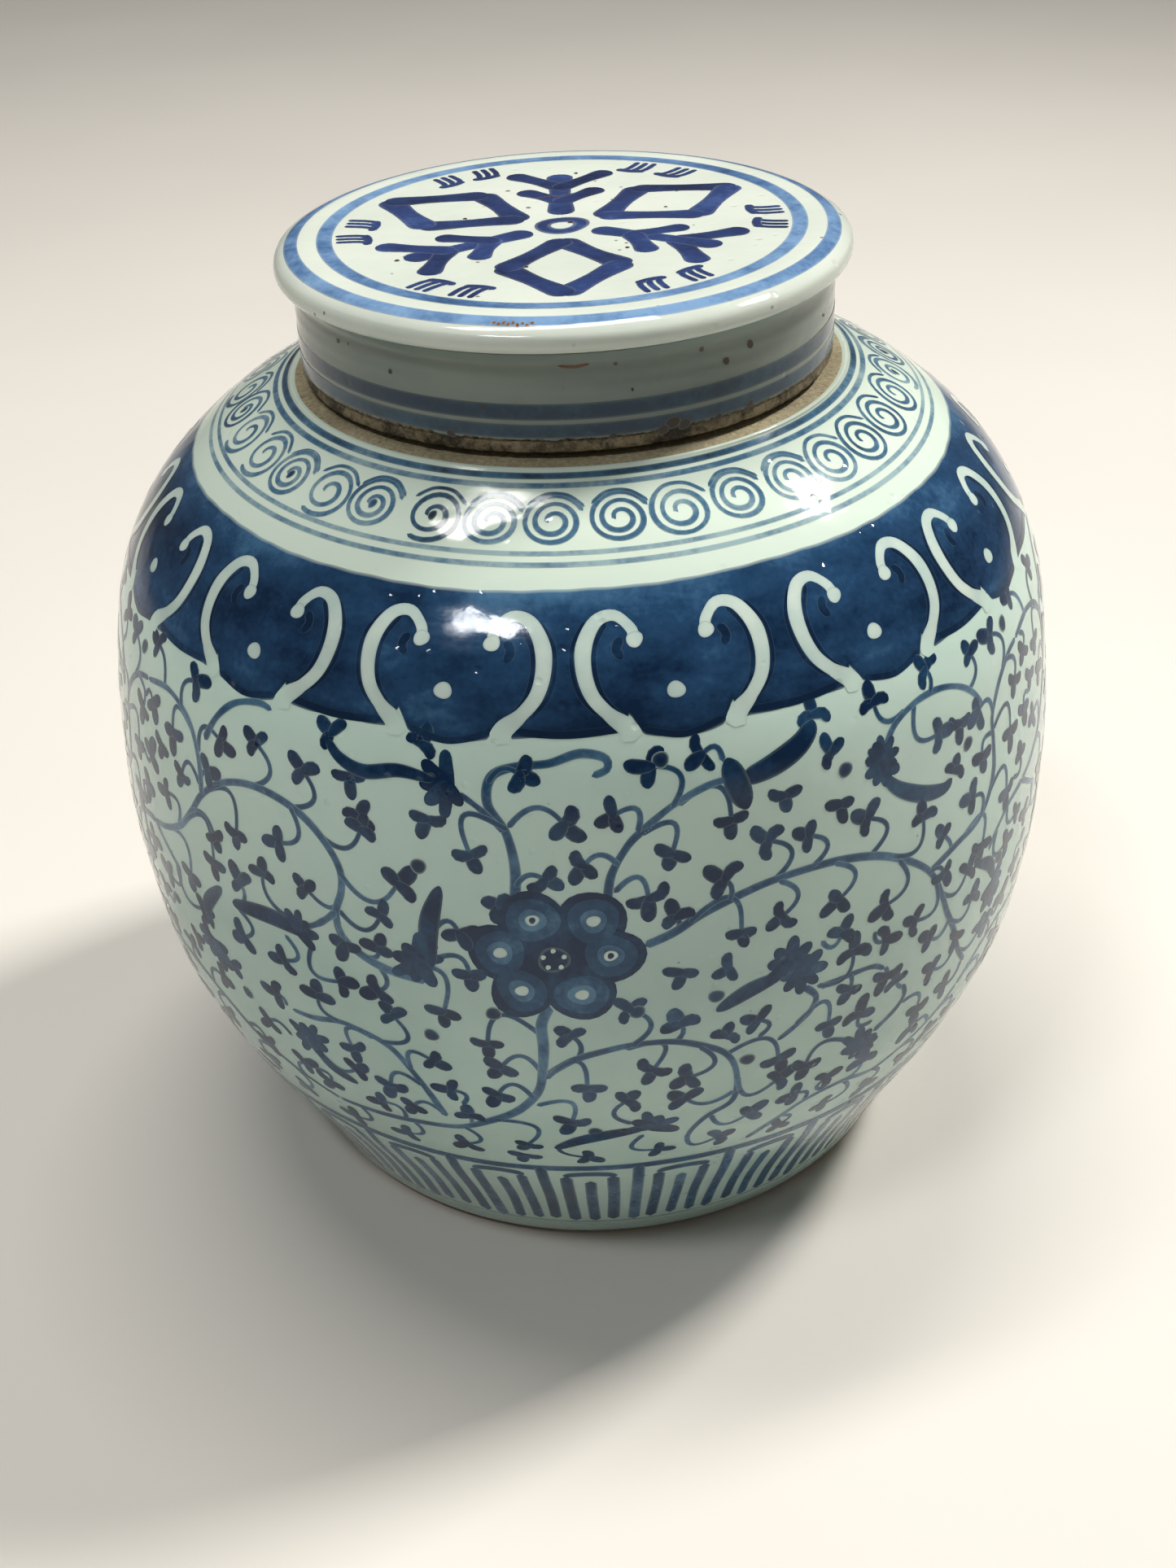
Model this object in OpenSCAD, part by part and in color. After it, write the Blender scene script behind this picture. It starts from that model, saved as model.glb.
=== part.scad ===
/* [Body] */
// Height of the glazed body, from the table to the glaze edge round the neck
body_h = 203; // [190:1:215]
// Largest outer radius, at the belly
belly_r = 117; // [112:1:122]
// Height at which the two thrown halves of the body were joined
seam_h = 104; // [98:1:110]
// Thickness of the thrown wall
wall_t = 6; // [5:0.5:7]
// Height of the band of slip that was smoothed over the joint inside
slip_h = 14; // [10:1:18]
// Thickness of that band
slip_t = 2; // [1.5:0.25:3]

/* [Foot] */
// Outer radius of the turned foot ring at the table
foot_r = 82; // [79:1:85]
// Width of the flat face that stands on the table
foot_w = 7; // [6:0.5:9]
// Height of the turned foot ring
foot_h = 8; // [7:0.5:9]
// Depth of the recess under the floor of the jar
recess_d = 6; // [5:0.5:6.5]
// Thickness of the floor of the jar
floor_t = 8; // [7:0.5:10]

/* [Neck] */
// Radius at which the glaze of the shoulder stops
ledge_r = 65; // [64:0.5:66]
// Outer radius of the upright neck
neck_r = 54.5; // [53:0.5:55]
// Thickness of the neck's wall
neck_t = 5.5; // [4.5:0.5:6]
// Radius of the hollow curve where the neck rises from the ledge
cove_r = 3; // [2:0.5:3]

/* [Lid] */
// Height of the lid, from the lower edge of its skirt to its flat top
lid_h = 29; // [27:0.5:32]
// Gap between the lid's lower edge and the glaze edge of the shoulder
lid_gap = 2; // [1.75:0.25:3]
// Outer radius of the overhanging flange
flange_r = 65.5; // [64.5:0.5:67]
// Radius of the flange's rounded edge
flange_edge_r = 3.2; // [2.8:0.1:3.5]
// Outer radius of the upright skirt
skirt_r = 61.5; // [61:0.5:62.5]
// Thickness of the skirt's wall
skirt_t = 5.5; // [5:0.5:5.5]
// Thickness of the lid's plate
plate_t = 7; // [6.5:0.5:8]
// Height of the unglazed lower edge of the skirt
rim_h = 3; // [2.5:0.5:4]
// Width of the bevel on the unglazed edge
rim_bevel = 0.8; // [0.5:0.1:1]

/* [Hidden] */
$fn = 96;
// Clearance between the top of the neck and the underside of the lid
rest_gap = 0.3;
// Steps in each stretch of the outline curve
curve_steps = 6;
// Steps in each rounded edge
edge_steps = 6;
// Rounding of the foot's outer edge and of the neck's lip
foot_round = 1.2;
lip_round = 2;
// Rise of the unglazed ledge from the glaze edge to the foot of the neck
ledge_rise = 1.2;
// Depth of the shoulder wall under the neck
shoulder_t = 4;

floor_top = recess_d + floor_t;
foot_in = foot_r - foot_w;
neck_in = neck_r - neck_t;
lid_low = body_h + lid_gap;
lid_high = lid_low + lid_h;
plate_low = lid_high - plate_t;
neck_top = plate_low - rest_gap;
skirt_in = skirt_r - skirt_t;
reach = belly_r + 10;

// The outline's shape: [share of the way out to the belly, share of the body's height]
RISE = [[0, 0], [0.28, 0.1], [0.64, 0.22], [0.9, 0.345], [1, 0.52]];
SHOULDER = [[0.946, 0.7], [0.846, 0.8], [0.654, 0.88], [0.34, 0.95], [0, 1]];
outline = concat(
  [for (p = RISE) [foot_r + p[0] * (belly_r - foot_r), p[1] * body_h]],
  [for (p = SHOULDER) [ledge_r + p[0] * (belly_r - ledge_r), p[1] * body_h]]
);

// A smooth curve through every point of a list
function blend(a, b, c, d, t) =
  0.5 * (2 * b + (c - a) * t + (2 * a - 5 * b + 4 * c - d) * t * t + (3 * b - a - 3 * c + d) * t * t * t);
function at(list, i) = list[max(0, min(len(list) - 1, i))];
function smooth(list, steps) = concat(
  [for (i = [0 : len(list) - 2], k = [0 : steps - 1])
    blend(at(list, i - 1), list[i], list[i + 1], at(list, i + 2), k / steps)],
  [list[len(list) - 1]]
);

// The same curve moved inwards by a distance, square to itself
function inward(list, d) = [
  for (i = [0 : len(list) - 1])
    let (run = at(list, i + 1) - at(list, i - 1))
    list[i] + d * [-run[1], run[0]] / norm(run)
];
function above(list, z) = [for (p = list) if (p[1] > z) p];
function reversed(list) = [for (i = [len(list) - 1 : -1 : 0]) list[i]];

// Points on an arc round a centre, from one angle to another
function arc(c, r, from, to) = [
  for (k = [0 : edge_steps]) c + r * [cos(from + (to - from) * k / edge_steps), sin(from + (to - from) * k / edge_steps)]
];

outer = smooth(outline, curve_steps);
inner = above(inward(outer, wall_t), floor_top + 1);
slip = above(inward(outer, wall_t + slip_t), floor_top + 1);

// The half section of everything between the outer and the inner face of the body
module body_section() {
  polygon(concat(
    outer,
    [[neck_in, body_h], [neck_in, body_h - shoulder_t]],
    reversed(inner),
    [[foot_in, floor_top], [foot_in, 0]]
  ));
}

// Keeps the part of a half section that lies between two heights
module between(low, high) {
  intersection() {
    children();
    translate([0, low]) square([reach, high - low]);
  }
}

module foot_ring() {
  color("#b09a7c")
    rotate_extrude()
      intersection() {
        between(0, foot_h) body_section();
        polygon(concat(
          [[foot_in, 0]],
          arc([foot_r - foot_round, foot_round], foot_round, -90, -30),
          [[reach, foot_h], [foot_in, foot_h]]
        ));
      }
}

module base() {
  color("#d9e2df")
    translate([0, 0, recess_d])
      cylinder(h = floor_t, r = foot_in);
}

module lower_body() {
  color("#d3dedd")
    rotate_extrude()
      between(foot_h, seam_h) body_section();
}

module upper_body() {
  color("#4f6c9c")
    rotate_extrude()
      between(seam_h, body_h) body_section();
}

module seam_band() {
  color("#c5cfcc")
    rotate_extrude()
      between(seam_h - slip_h / 2, seam_h + slip_h / 2)
        polygon(concat(inner, reversed(slip)));
}

module neck() {
  color("#93805f")
    rotate_extrude()
      polygon(concat(
        [[neck_in, body_h], [ledge_r, body_h]],
        arc([neck_r + cove_r, body_h + ledge_rise + cove_r], cove_r, 270, 180),
        arc([neck_r - lip_round, neck_top - lip_round], lip_round, 0, 90),
        arc([neck_in + lip_round, neck_top - lip_round], lip_round, 90, 180)
      ));
}

module lid_rim() {
  color("#a38e6c")
    rotate_extrude()
      polygon([
        [skirt_in + rim_bevel, lid_low],
        [skirt_r - rim_bevel, lid_low],
        [skirt_r, lid_low + rim_bevel],
        [skirt_r, lid_low + rim_h],
        [skirt_in, lid_low + rim_h],
        [skirt_in, lid_low + rim_bevel]
      ]);
}

module lid_skirt() {
  color("#a9b9b8")
    translate([0, 0, lid_low + rim_h])
      difference() {
        cylinder(h = plate_low - lid_low - rim_h, r = skirt_r);
        translate([0, 0, -1])
          cylinder(h = plate_low - lid_low - rim_h + 2, r = skirt_in);
      }
}

module lid_top() {
  color("#e9ebe2")
    rotate_extrude()
      polygon(concat(
        [[0, plate_low], [skirt_r, plate_low]],
        arc([flange_r - flange_edge_r, lid_high - flange_edge_r], flange_edge_r, -50, 90),
        [[0, lid_high]]
      ));
}

foot_ring();
base();
lower_body();
upper_body();
seam_band();
neck();
lid_rim();
lid_skirt();
lid_top();
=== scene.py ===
"""A lidded blue-and-white ginger jar, with a painted shoulder, scrolling vines and a fret round the foot.

Lengths are millimetres and angles are degrees round the jar, until a mesh is made in metres. Angle 0
faces the viewer, and angles grow to the viewer's right.
"""

import math
import random

import bpy
import numpy as np
from mathutils import Matrix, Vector
from mathutils.kdtree import KDTree


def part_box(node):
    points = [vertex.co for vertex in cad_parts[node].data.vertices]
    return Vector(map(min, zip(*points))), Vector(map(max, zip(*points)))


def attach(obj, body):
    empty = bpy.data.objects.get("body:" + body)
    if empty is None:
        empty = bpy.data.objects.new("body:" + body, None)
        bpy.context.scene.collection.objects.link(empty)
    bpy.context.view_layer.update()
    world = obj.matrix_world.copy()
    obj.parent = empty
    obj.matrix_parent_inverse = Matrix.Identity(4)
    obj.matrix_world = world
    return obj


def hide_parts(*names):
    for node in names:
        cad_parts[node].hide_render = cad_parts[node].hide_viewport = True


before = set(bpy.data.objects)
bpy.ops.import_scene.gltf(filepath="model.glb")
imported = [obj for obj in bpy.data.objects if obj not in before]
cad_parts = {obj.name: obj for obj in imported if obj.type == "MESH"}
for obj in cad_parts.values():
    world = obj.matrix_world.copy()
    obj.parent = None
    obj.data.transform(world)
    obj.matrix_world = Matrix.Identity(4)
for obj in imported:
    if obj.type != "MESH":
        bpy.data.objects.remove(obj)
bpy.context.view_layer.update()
MM = 0.001
CHANCE = random.Random(7)


# ---------------------------------------------------------------- sizes, from the frame
def top_of(node):
    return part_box(node)[1][2] / MM


def low_of(node):
    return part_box(node)[0][2] / MM


def reach_of(node):
    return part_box(node)[1][0] / MM


BODY_H = top_of("upper_body")
BELLY_R = reach_of("upper_body")
LEDGE_R = reach_of("neck")
FOOT_R = 82.0
FOOT_TOP = top_of("foot_ring")
WALL = 6.0
FOOT_IN = reach_of("base")
RECESS = low_of("base")
FLOOR_TOP = top_of("base")
NECK_TOP = top_of("neck")
NECK_R = 54.5
NECK_IN = 49.0
LID_LOW = low_of("lid_rim")
LID_TOP = top_of("lid_top")
PLATE_LOW = low_of("lid_top")
FLANGE_R = reach_of("lid_top")
SKIRT_R = reach_of("lid_skirt")
SKIRT_IN = SKIRT_R - 5.5
RIM_TOP = top_of("lid_rim")
LID_FLAT_R = 57.5
FLANGE_ROUND = 8.0

# The outline's shape: (share of the way out to the belly, share of the body's height)
RISE = [(0, 0), (0.28, 0.1), (0.64, 0.22), (0.9, 0.345), (1, 0.52)]
SHOULDER = [(0.946, 0.7), (0.846, 0.8), (0.654, 0.88), (0.34, 0.95), (0, 1)]
OUTLINE = [(FOOT_R + s * (BELLY_R - FOOT_R), h * BODY_H) for s, h in RISE]
OUTLINE += [(LEDGE_R + s * (BELLY_R - LEDGE_R), h * BODY_H) for s, h in SHOULDER]


# ---------------------------------------------------------------- curves
def smooth(points, steps):
    """A Catmull-Rom curve through every point, with that many steps in each stretch."""
    p = np.asarray(points, float)
    ends = np.vstack([p[:1], p, p[-1:]])
    t = np.arange(steps)[:, None] / steps
    runs = []
    for i in range(len(p) - 1):
        a, b, c, d = ends[i], ends[i + 1], ends[i + 2], ends[i + 3]
        cubic = (3 * b - a - 3 * c + d) * t ** 3
        runs.append(0.5 * (2 * b + (c - a) * t + (2 * a - 5 * b + 4 * c - d) * t * t + cubic))
    return np.vstack(runs + [p[-1:]])


CURVE = smooth(OUTLINE, 40)
CURVE_SLOPE = np.gradient(CURVE[:, 0], CURVE[:, 1])


def radius(z):
    """The body's outer radius at a height."""
    return np.interp(z, CURVE[:, 1], CURVE[:, 0])


def slope(z):
    """How fast that radius grows with height."""
    return np.interp(z, CURVE[:, 1], CURVE_SLOPE)


def wobble(angle, z):
    """The slight unroundness of a hand-thrown wall."""
    a = np.radians(angle)
    return 0.18 * np.sin(2 * a + 0.6 + z * 0.01) + 0.1 * np.sin(3 * a + 2.0) + 0.07 * np.sin(z * 0.21 + a)


def around(angle, r, z):
    """Points in metres at an angle, a radius and a height."""
    a = np.radians(angle)
    return np.stack([r * np.sin(a), -r * np.cos(a), z + 0 * a], -1) * MM


def jar_surface(angle, z, lift):
    """Points on the outside of the body, raised by lift, and the directions that face out there."""
    k = slope(z)
    n_out, n_up = 1 / np.sqrt(1 + k * k), -k / np.sqrt(1 + k * k)
    r = radius(z) + wobble(angle, z) + lift * n_out
    a = np.radians(angle)
    normal = np.stack([n_out * np.sin(a), -n_out * np.cos(a), n_up + 0 * a], -1)
    return around(angle, r, z + lift * n_up), normal


def jar_scale(z):
    """Millimetres along the surface for one degree, and for one millimetre of height."""
    return radius(z) * math.pi / 180, np.sqrt(1 + slope(z) ** 2)


def flange_share(r):
    """0 on the flat of the lid, and up to 1 where the flange rounds off."""
    return np.clip((r - LID_FLAT_R) / FLANGE_ROUND, 0, 1)


def lid_height(r):
    """The height of the lid's top, which dips a little in the middle and rounds off at the flange."""
    flat = np.clip(r, 0, LID_FLAT_R) / LID_FLAT_R
    return LID_TOP - 0.35 + 0.3 * flat ** 2 - 3.4 * flange_share(r) ** 2.6


def lid_warp(t, r):
    """The slight warp of the flange, at an angle in radians."""
    return 0.1 * flange_share(r) * np.sin(3 * t + 0.4)


def lid_surface(x, y, lift):
    """Points on the top of the lid, raised by lift, and the directions that face out there."""
    r = np.hypot(x, y)
    z = lid_height(r) + lid_warp(np.arctan2(x, -y), r)
    tilt = 0.0105 * np.clip(r, 0, LID_FLAT_R) / LID_FLAT_R - 1.1 * flange_share(r) ** 1.6
    safe = np.maximum(r, 1e-6)
    normal = np.stack([-tilt * x / safe, -tilt * y / safe, np.ones_like(r)], -1)
    normal /= np.linalg.norm(normal, axis=-1, keepdims=True)
    return np.stack([x * MM, y * MM, (z + lift) * MM], -1), normal


def lid_scale(_):
    return 1.0, 1.0


def skirt_surface(angle, z, lift):
    """Points on the upright side of the lid."""
    a = np.radians(angle)
    normal = np.stack([np.sin(a), -np.cos(a), 0 * a + 0 * z], -1)
    return around(angle, SKIRT_R + lift + 0 * z, z), normal


def skirt_scale(_):
    return SKIRT_R * math.pi / 180, 1.0


# What a painting lies on: its surface and scale, its material slot and its body
ON_JAR = (jar_surface, jar_scale, "painted_glaze", "jar")
ON_LID = (lid_surface, lid_scale, "lid_glaze", "lid")
ON_SKIRT = (skirt_surface, skirt_scale, "lid_glaze", "lid")


# ---------------------------------------------------------------- meshes
def mesh_object(name, points, faces, normals=None, marks=None):
    """A smooth mesh object from points in metres. marks are numbers held on its vertices."""
    mesh = bpy.data.meshes.new(name)
    mesh.from_pydata(np.asarray(points).tolist(), [], [list(map(int, f)) for f in faces])
    mesh.polygons.foreach_set("use_smooth", [True] * len(mesh.polygons))
    for key, values in (marks or {}).items():
        layer = mesh.attributes.new(key, "FLOAT", "POINT")
        layer.data.foreach_set("value", np.asarray(values, np.float32))
    mesh.update()
    if normals is not None:
        mesh.normals_split_custom_set_from_vertices(np.asarray(normals).tolist())
    obj = bpy.data.objects.new(name, mesh)
    bpy.context.scene.collection.objects.link(obj)
    return obj


def grid_faces(rows, columns, wrap, start=0):
    """Quads of a grid whose points run along each row in turn. wrap joins the last column to the first."""
    i, j = np.meshgrid(np.arange(rows - 1), np.arange(columns if wrap else columns - 1), indexing="ij")
    k = (j + 1) % columns
    quads = np.stack([i * columns + j, i * columns + k, (i + 1) * columns + k, (i + 1) * columns + j], -1)
    return quads.reshape(-1, 4) + start


def spun(section, columns, shake):
    """The points of a section turned round the axis. shake may move them a little."""
    a, r = np.meshgrid(np.arange(columns) * 360 / columns, section[:, 0])
    z = np.repeat(section[:, 1:2], columns, 1)
    if shake is not None:
        r, z = shake(a, r, z)
    return around(a, r, z).reshape(-1, 3)


def revolve(name, section, columns, shake=None):
    """A closed ring of a section, a loop of (radius, height) points that runs out, up and back in."""
    section = np.asarray(section, float)
    loop = np.vstack([grid_faces(len(section), columns, True), last_to_first(len(section), columns)])
    return mesh_object(name, spun(section, columns, shake), loop)


def last_to_first(rows, columns):
    j = np.arange(columns)
    k = (j + 1) % columns
    low = (rows - 1) * columns
    return np.stack([low + j, low + k, k, j], -1)


def disc(name, section, columns, shake=None):
    """A closed solid of revolution whose section starts and ends on the axis."""
    section = np.asarray(section, float)
    rows = len(section) - 2
    ends = [[0, 0, section[0, 1] * MM], [0, 0, section[-1, 1] * MM]]
    points = np.vstack([spun(section[1:-1], columns, shake), ends])
    faces = [list(f) for f in grid_faces(rows, columns, True)]
    first, last = rows * columns, rows * columns + 1
    for j in range(columns):
        k = (j + 1) % columns
        faces.append([first, k, j])
        faces.append([last, first - columns + j, first - columns + k])
    return mesh_object(name, points, faces)


def arc(centre, r, start, end, steps=8):
    """Points on an arc round a centre, from one angle to another."""
    t = np.radians(np.linspace(start, end, steps + 1))
    return [(centre[0] + r * math.cos(q), centre[1] + r * math.sin(q)) for q in t]


def along(a, b, step):
    """Points from a up to, but not at, b, no more than step apart."""
    a, b = np.asarray(a, float), np.asarray(b, float)
    count = max(1, math.ceil(np.linalg.norm(b - a) / step))
    return [tuple(a + (b - a) * i / count) for i in range(count)]


def path_of(corners, step):
    """A closed section with its straight runs cut into short steps."""
    out = []
    for a, b in zip(corners, corners[1:] + corners[:1]):
        out += along(a, b, step)
    return out


# ---------------------------------------------------------------- brush strokes
class Painting:
    """Brush strokes laid on a surface, gathered into one mesh.

    Each vertex holds its ink, how thickly it is covered, and its tone, how dark the blue is.
    """

    ACROSS = np.array([-1.0, -0.72, -0.3, 0.3, 0.72, 1.0])
    INK = np.array([0.62, 0.96, 1.0, 1.0, 0.96, 0.62])

    def __init__(self, ground, lift):
        self.surface, self.scale, self.slot, self.body = ground
        self.lift = lift
        self.points, self.normals, self.faces, self.ink, self.tone = [], [], [], [], []
        self.count, self.layer = 0, 0

    def add(self, points, normals, faces, ink, tone):
        self.points.append(points)
        self.normals.append(normals)
        self.faces.append(faces + self.count)
        self.ink.append(ink)
        self.tone.append(tone)
        self.count += len(points)

    def metric(self, z):
        """Millimetres along the surface for one unit of each coordinate, at each height."""
        ka, kz = self.scale(z)
        return np.stack([np.ones(len(z)) * ka, np.ones(len(z)) * kz], -1)

    def next_lift(self, extra):
        """Strokes that cross lie at slightly different depths, so that they don't flicker."""
        self.layer += 1
        return self.lift + extra + 0.0011 * (self.layer % 13)

    def stroke(self, path, width, tone, step=0.8, extra=0.0, swell=None, edge=0.0, curved=True, closed=False):
        """A stroke along a path. Its ends are round unless it is closed. swell changes its width."""
        line = smooth(path, 14) if curved and len(path) > 2 else np.asarray(path, float)
        steps = np.diff(line, axis=0) * self.metric((line[1:, 1] + line[:-1, 1]) / 2)
        run = np.concatenate([[0], np.cumsum(np.linalg.norm(steps, axis=1))])
        total = run[-1]
        if total < 1e-6:
            return
        count = max(4, int(total / step) + 2)
        s = np.linspace(0, total, count)
        if total < 6 * width:
            s = total * (0.5 - 0.5 * np.cos(np.linspace(0, math.pi, count)))
        at = np.stack([np.interp(s, run, line[:, 0]), np.interp(s, run, line[:, 1])], -1)
        metric = self.metric(at[:, 1])
        way = np.gradient(at, axis=0) * metric
        way /= np.maximum(np.linalg.norm(way, axis=1, keepdims=True), 1e-9)
        side = np.stack([-way[:, 1], way[:, 0]], -1) / metric
        half = np.full(count, width / 2.0)
        if swell is not None:
            half = half * swell(s / total)
        for gap in () if closed else (s, total - s):
            q = np.clip(gap / (width / 2), 0, 1)
            half = half * np.maximum(np.sqrt(1 - (1 - q) ** 2), 0.06)
        spots = at[:, None, :] + side[:, None, :] * (half[:, None] * self.ACROSS)[..., None]
        points, normals = self.surface(spots[..., 0].ravel(), spots[..., 1].ravel(), self.next_lift(extra))
        ink = np.clip(np.tile(self.INK, count) + edge, 0, 1)
        tones = np.atleast_1d(np.asarray(tone, float))
        shade = np.interp(s / total, np.linspace(0, 1, len(tones)), tones)
        faces = grid_faces(count, len(self.ACROSS), False)[:, ::-1]
        self.add(points, normals, faces, ink, np.repeat(shade, len(self.ACROSS)))

    def blob(self, centre, size, tone, turn=0.0, extra=0.0, edge=0.0, hollow=0.0, around_steps=22):
        """A filled spot, or a ring when it is hollow. size is its half width and half height."""
        ka, kz = self.scale(centre[1])
        rings = np.array([hollow, hollow + (1 - hollow) * 0.3, hollow + (1 - hollow) * 0.75, 1.0])
        ink = np.array([0.5 if hollow else 1.0, 1.0, 0.97, 0.5])
        t = np.arange(around_steps) * 2 * math.pi / around_steps
        shape = 1 + 0.05 * np.sin(2 * t + turn * 3) + 0.04 * np.sin(3 * t + centre[0])
        c, q = math.cos(math.radians(turn)), math.sin(math.radians(turn))
        x, y = size[0] * shape * np.cos(t), size[1] * shape * np.sin(t)
        dx, dy = (c * x - q * y) / ka, (q * x + c * y) / kz
        a = centre[0] + rings[:, None] * dx
        z = centre[1] + rings[:, None] * dy
        points, normals = self.surface(a.ravel(), z.ravel(), self.next_lift(extra))
        faces = grid_faces(len(rings), around_steps, True)
        if not hollow:
            faces = faces[around_steps:]
            hub = np.arange(around_steps)
            fan = np.stack([hub, (hub + 1) % around_steps + around_steps, hub + around_steps, hub], -1)
            faces = np.vstack([faces, fan])
        inks = np.clip(np.repeat(ink, around_steps) + edge, 0, 1)
        self.add(points, normals, faces[:, ::-1], inks, np.full(len(points), float(tone)))

    def sheet(self, angles, tops, lows, rows, tone, ink_edge):
        """A wash of colour between two heights at each angle."""
        t = np.linspace(0, 1, rows)[:, None]
        z = lows[None, :] + (tops - lows)[None, :] * t
        a = np.repeat(angles[None, :], rows, 0)
        points, normals = self.surface(a.ravel(), z.ravel(), self.lift)
        ink = np.ones((rows, len(angles)))
        ink[0], ink[-1] = ink_edge
        faces = grid_faces(rows, len(angles), True)
        self.add(points, normals, faces, ink.ravel(), np.repeat(tone, len(angles)))

    def finish(self, name, material):
        """Makes the mesh of all the strokes, which rides on the body they are painted on."""
        faces = [list(dict.fromkeys(f.tolist())) for f in np.vstack(self.faces)]
        marks = {"ink": np.concatenate(self.ink), "tone": np.concatenate(self.tone)}
        obj = mesh_object(name, np.vstack(self.points), faces, np.vstack(self.normals), marks)
        obj.data.materials.append(material)
        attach(obj, self.body)


# ---------------------------------------------------------------- materials
class Nodes:
    """A short way to build a material's nodes."""

    def __init__(self, name):
        self.material = bpy.data.materials.new(name)
        self.material.use_nodes = True
        self.tree = self.material.node_tree
        self.shader = self.tree.nodes["Principled BSDF"]
        self.place = self.add("ShaderNodeTexCoord").outputs["Object"]

    def add(self, kind, **settings):
        node = self.tree.nodes.new(kind)
        for key, value in settings.items():
            setattr(node, key, value)
        return node

    def link(self, source, target):
        self.tree.links.new(source, target)

    def noise(self, scale, detail=4.0, rough=0.55, stretch=(1, 1, 1)):
        mapping = self.add("ShaderNodeMapping")
        mapping.inputs["Scale"].default_value = stretch
        self.link(self.place, mapping.inputs["Vector"])
        node = self.add("ShaderNodeTexNoise")
        node.inputs["Scale"].default_value = scale
        node.inputs["Detail"].default_value = detail
        node.inputs["Roughness"].default_value = rough
        self.link(mapping.outputs["Vector"], node.inputs["Vector"])
        return node.outputs["Fac"]

    def spots(self, scale, size, soft):
        """1 inside small scattered dots, 0 outside."""
        node = self.add("ShaderNodeTexVoronoi")
        node.inputs["Scale"].default_value = scale
        self.link(self.place, node.inputs["Vector"])
        return self.ramp(node.outputs["Distance"], size + soft, size)

    def ramp(self, value, low, high, to_low=0.0, to_high=1.0):
        """value is carried from low..high to to_low..to_high, and held there."""
        node = self.add("ShaderNodeMapRange")
        node.inputs["From Min"].default_value = low
        node.inputs["From Max"].default_value = high
        node.inputs["To Min"].default_value = to_low
        node.inputs["To Max"].default_value = to_high
        self.link(value, node.inputs["Value"])
        return node.outputs["Result"]

    def math(self, kind, a, b):
        node = self.add("ShaderNodeMath", operation=kind)
        for socket, value in zip(node.inputs, (a, b)):
            if isinstance(value, (int, float)):
                socket.default_value = value
            else:
                self.link(value, socket)
        return node.outputs["Value"]

    def mix(self, share, a, b):
        """Colour a where share is 0, colour b where it is 1."""
        node = self.add("ShaderNodeMix", data_type="RGBA")
        for socket, value in ((node.inputs["Factor"], share), (node.inputs["A"], a), (node.inputs["B"], b)):
            if isinstance(value, (int, float)):
                socket.default_value = value
            elif isinstance(value, tuple):
                socket.default_value = (*value, 1.0)
            else:
                self.link(value, socket)
        return next(s for s in node.outputs if s.type == "RGBA")

    def mark(self, name):
        return self.add("ShaderNodeAttribute", attribute_name=name).outputs["Fac"]

    def height(self):
        """The height above the table, in millimetres."""
        node = self.add("ShaderNodeSeparateXYZ")
        self.link(self.place, node.inputs["Vector"])
        return self.math("MULTIPLY", node.outputs["Z"], 1000.0)

    def bump(self, parts):
        """Bump from (value, height in metres) pairs, one on another."""
        last = None
        for value, depth in parts:
            node = self.add("ShaderNodeBump")
            node.inputs["Strength"].default_value = 1.0
            node.inputs["Distance"].default_value = depth
            self.link(value, node.inputs["Height"])
            if last is not None:
                self.link(last, node.inputs["Normal"])
            last = node.outputs["Normal"]
        self.link(last, self.shader.inputs["Normal"])


def glaze_skin(n, worn=0.0):
    """The gloss of the glaze: a slow ripple, a fine peel, faint scuffs, and a few duller patches."""
    ripple = n.noise(38, 3)
    peel = n.noise(420, 2)
    pits = n.math("MULTIPLY", n.spots(160, 0.05, 0.12), n.ramp(n.noise(12, 3), 0.45, 0.6))
    n.bump([(ripple, 0.0004), (peel, 0.000015), (pits, -0.00016)])
    scuffs = n.noise(60, 6, 0.7, stretch=(1, 1, 5))
    dull = n.ramp(scuffs, 0.5, 0.75, 0.07, 0.2 + worn)
    n.link(dull, n.shader.inputs["Roughness"])
    n.shader.inputs["IOR"].default_value = 1.42


# Colours of glaze and cobalt, in linear light
CELADON = (0.47, 0.63, 0.57)
CELADON_DEEP = (0.38, 0.52, 0.48)
# A paler celadon, used as painted light on the upper body
CELADON_PAINTED_LIGHT = (0.58, 0.75, 0.67)
CREAM = (0.66, 0.77, 0.67)
WHITE_GLAZE = (0.66, 0.71, 0.64)
COBALT_PALE = (0.10, 0.22, 0.34)
COBALT = (0.018, 0.070, 0.150)
COBALT_DARK = (0.003, 0.021, 0.064)
# The grey-green glaze of the lid's side, made darker as painted shade under the flange
SKIRT_GLAZE_AND_SHADE = (0.19, 0.23, 0.20)
IRON = (0.05, 0.03, 0.015)


def body_paper_with_painted_light(n):
    """The colour of the body's bare glaze: cream on the shoulder, paler from the middle up as painted light,
    bluer and greyer below.
    """
    cloud = n.ramp(n.noise(14, 5), 0.35, 0.65)
    low = n.mix(cloud, CELADON, CELADON_DEEP)
    # Painted light: from 105 to 160 mm up, the glaze turns paler as if lit from above
    low = n.mix(n.ramp(n.height(), 105, 160), low, CELADON_PAINTED_LIGHT)
    return n.mix(n.ramp(n.height(), 172, 192), low, CREAM)


def body_glaze():
    n = Nodes("body_glaze")
    dots = n.math("MULTIPLY", n.spots(150, 0.035, 0.03), n.ramp(n.noise(30, 2), 0.56, 0.6))
    colour = n.mix(n.math("MULTIPLY", dots, 0.6), body_paper_with_painted_light(n), IRON)
    n.link(colour, n.shader.inputs["Base Color"])
    glaze_skin(n)
    return n.material


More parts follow.
